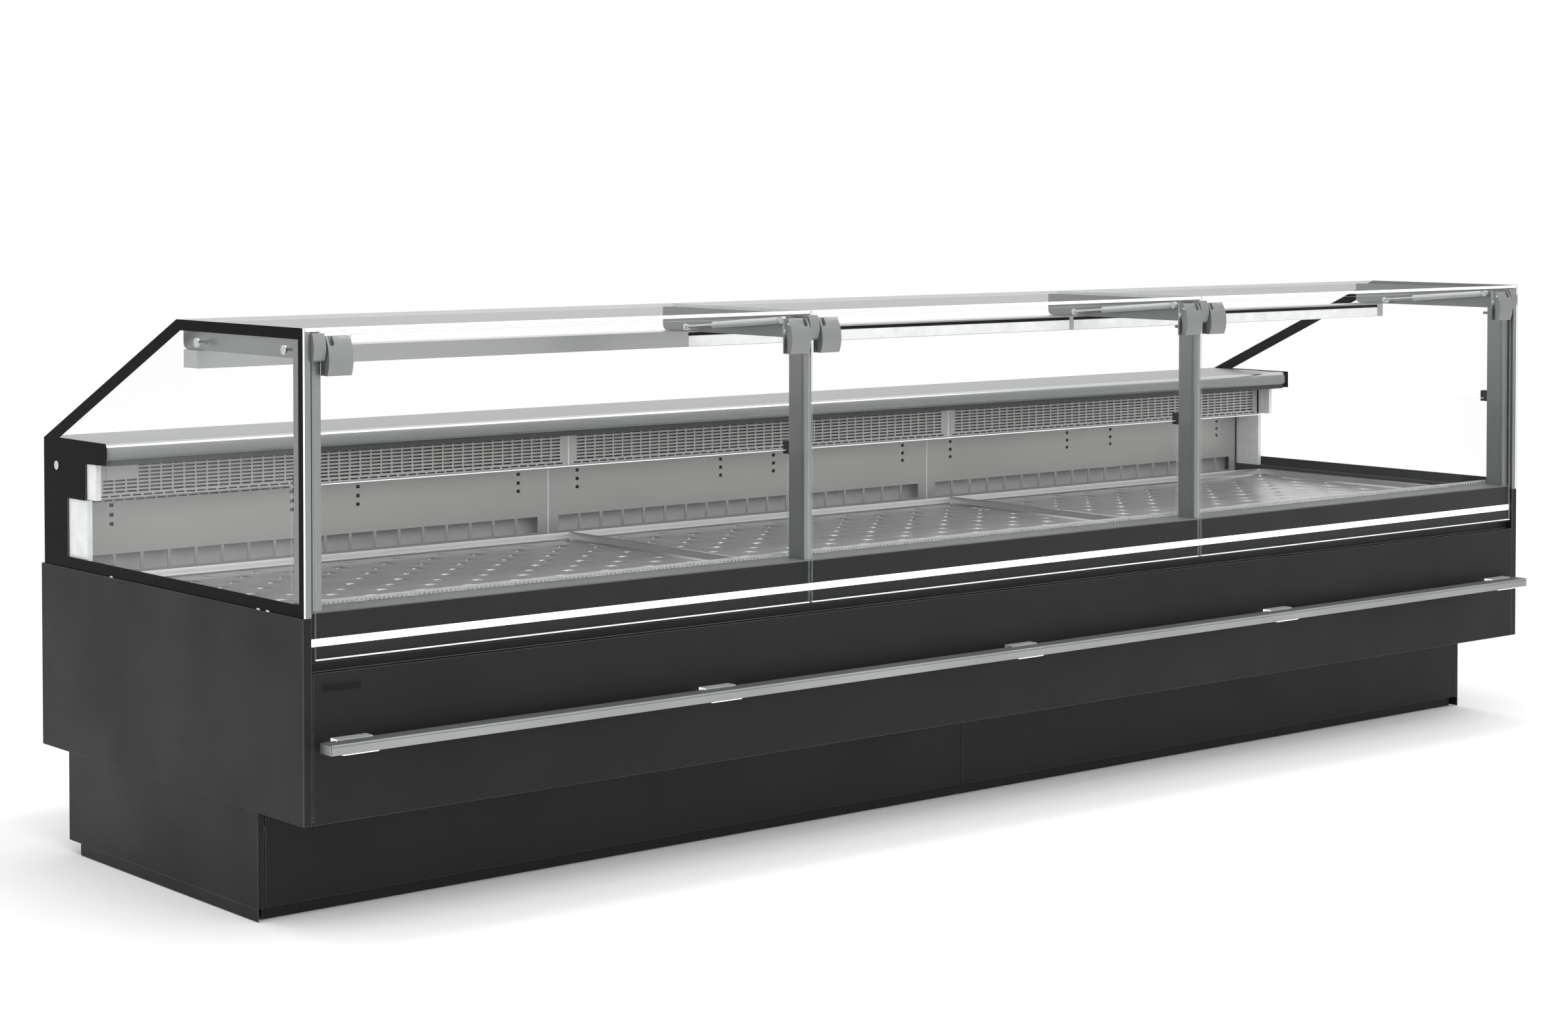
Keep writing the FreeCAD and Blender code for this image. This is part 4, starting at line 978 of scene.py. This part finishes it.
# ---------------------------------------------------------------- staff side
def back_details():
    """Cover strips over the joints of the rear panel, its screws, and the folded edge along its foot."""
    low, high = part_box("rear_panel")
    lug_to_joint, edge, screw_columns, screw_inset = 13.5 * MM, 4 * MM, 12, 30 * MM
    tall = (low.z + 6 * MM, high.z - edge)
    bm = bmesh.new()
    for lug in LUGS[1:3]:
        joint = lug[0].x + lug_to_joint
        for half, inner, outer in ((17 * MM, 0, 1.2 * MM), (11 * MM, 1.2 * MM, 3.0 * MM)):
            block(bm, (joint - half, joint + half), (high.y + inner, high.y + outer), tall)
    block(bm, (low.x + edge, high.x - edge), (high.y, high.y + 2.5 * MM), (low.z, low.z + 5 * MM))
    made_piece("rear_joint_covers", bm, [POWDER], "case", 0.5)
    pitch = (high.x - low.x - 2 * screw_inset) / screw_columns
    places = [Vector((low.x + screw_inset + i * pitch, high.y, z))
              for i in range(screw_columns + 1) for z in (low.z + screw_inset, high.z - screw_inset)]
    screws("rear_panel_screws", places, BACK, 3.6)


def louvre_hoods():
    """Pressed hood over each air slot of the rear panel."""
    panel_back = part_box("rear_panel")[1].y
    middle, lowest, pitch_x, pitch_z, length = -1500 * MM, 250 * MM, 82 * MM, 16 * MM, 68 * MM
    section = in_mm(((-0.5, 10.5), (2.6, 6.0), (3.2, 1.5), (2.4, 1.5), (1.8, 5.4), (-0.5, 9.0)))
    bm = bmesh.new()
    for line in range(5):
        for column in range(-2, 3):
            left, foot = middle + column * pitch_x - length / 2, lowest + line * pitch_z
            push(bm, [Vector((left, panel_back + out, foot + up)) for out, up in section], ALONG * length)
    made_piece("louvre_hoods", bm, [POWDER], "case", 0.2)


def switch_details():
    """Smoked window over the blank controller, a lamp lens and two screws on the switch plate."""
    low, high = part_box("switch_plate")
    middle = (low.z + high.z) / 2
    bm = bmesh.new()
    window = Vector((low.x + 46 * MM, high.y, middle))
    push(bm, rounded_loop(window, ALONG, UP, 62 * MM, 30 * MM, 3 * MM), BACK * 1.4 * MM)
    made_piece("controller_window", bm, [SMOKED], "case", 0.5)
    bm = bmesh.new()
    dome = in_mm(((0, -0.3), (4, -0.3), (4, 1), (3, 2), (0, 2.4)))
    turned(bm, dome, Vector((low.x + 91 * MM, high.y, middle)), BACK)
    made_piece("indicator_lens", bm, [FROSTED], "case")
    places = [Vector((x, high.y, middle)) for x in (low.x + 7 * MM, high.x - 6 * MM)]
    screws("switch_plate_screws", places, BACK, 2.6)


canopy_end_screws()
canopy_strips()
canopy_light_ribs()
badge()
bracket_screws()
guard_knobs()
end_glass_painted_shadow_strips()
duct_shade_sheets()
duct_plate()
wall_seam_highlights()
wall_end_painted_shadow_strips()
fan_guards()
coil_ends()
back_details()
louvre_hoods()
switch_details()
for bay in BAYS:
    clamp_grips(bay)
    clamp_screws(bay)
    lever_screws(bay)
    strut_collars(bay)
    tray(bay)


# ---------------------------------------------------------------- studio
def studio():
    """Pale floor, three soft lamps over and in front of the case, and a bright even surround."""
    floor_reach = 60.0
    bm = bmesh.new()
    bmesh.ops.create_grid(bm, x_segments=1, y_segments=1, size=floor_reach)
    mesh = bpy.data.meshes.new("floor")
    bm.to_mesh(mesh)
    bm.free()
    floor = bpy.data.objects.new("floor", mesh)
    SCENE.collection.objects.link(floor)
    mesh.materials.append(finish_material("pale_floor", "#FFFFFF", Roughness=0.9, Specular_IOR_Level=0.0)[0])

    world = bpy.data.worlds.new("surround")
    world.use_nodes = True
    world.node_tree.nodes["Background"].inputs["Color"].default_value = linear("#FFFFFF")
    world.node_tree.nodes["Background"].inputs["Strength"].default_value = 1.0
    SCENE.world = world
    SCENE.view_settings.view_transform = "Standard"

    lamps = (("overhead", (0.0, -1.0, 4.5), (0.0, 0.0, 0.0), (6.0, 4.0), 60.0),
             ("customer_side", (-1.0, -6.0, 3.0), (0.0, 0.0, 0.6), (6.0, 3.0), 60.0),
             ("strip", (0.0, -0.2, 3.0), (0.0, 0.3, 0.0), (5.0, 0.3), 30.0))
    for name, place, target, size, power in lamps:
        lamp = bpy.data.lights.new(name, "AREA")
        lamp.shape = "RECTANGLE"
        lamp.size, lamp.size_y = size
        lamp.energy = power
        holder = bpy.data.objects.new(name, lamp)
        holder.location = place
        holder.rotation_euler = (Vector(target) - Vector(place)).to_track_quat("-Z", "Y").to_euler()
        SCENE.collection.objects.link(holder)


def camera():
    """Camera off the left front corner, a little above the case and looking slightly down."""
    lens = bpy.data.cameras.new("camera")
    lens.lens = 67.88
    lens.sensor_width = 36.0
    lens.shift_y = -0.155
    holder = bpy.data.objects.new("camera", lens)
    holder.location = (-4.780, -5.418, 1.446)
    heading, looking_down = math.radians(39.82), math.radians(1.67)
    holder.rotation_euler = (math.radians(90) - looking_down, 0, -heading)
    SCENE.collection.objects.link(holder)
    SCENE.camera = holder


studio()
camera()
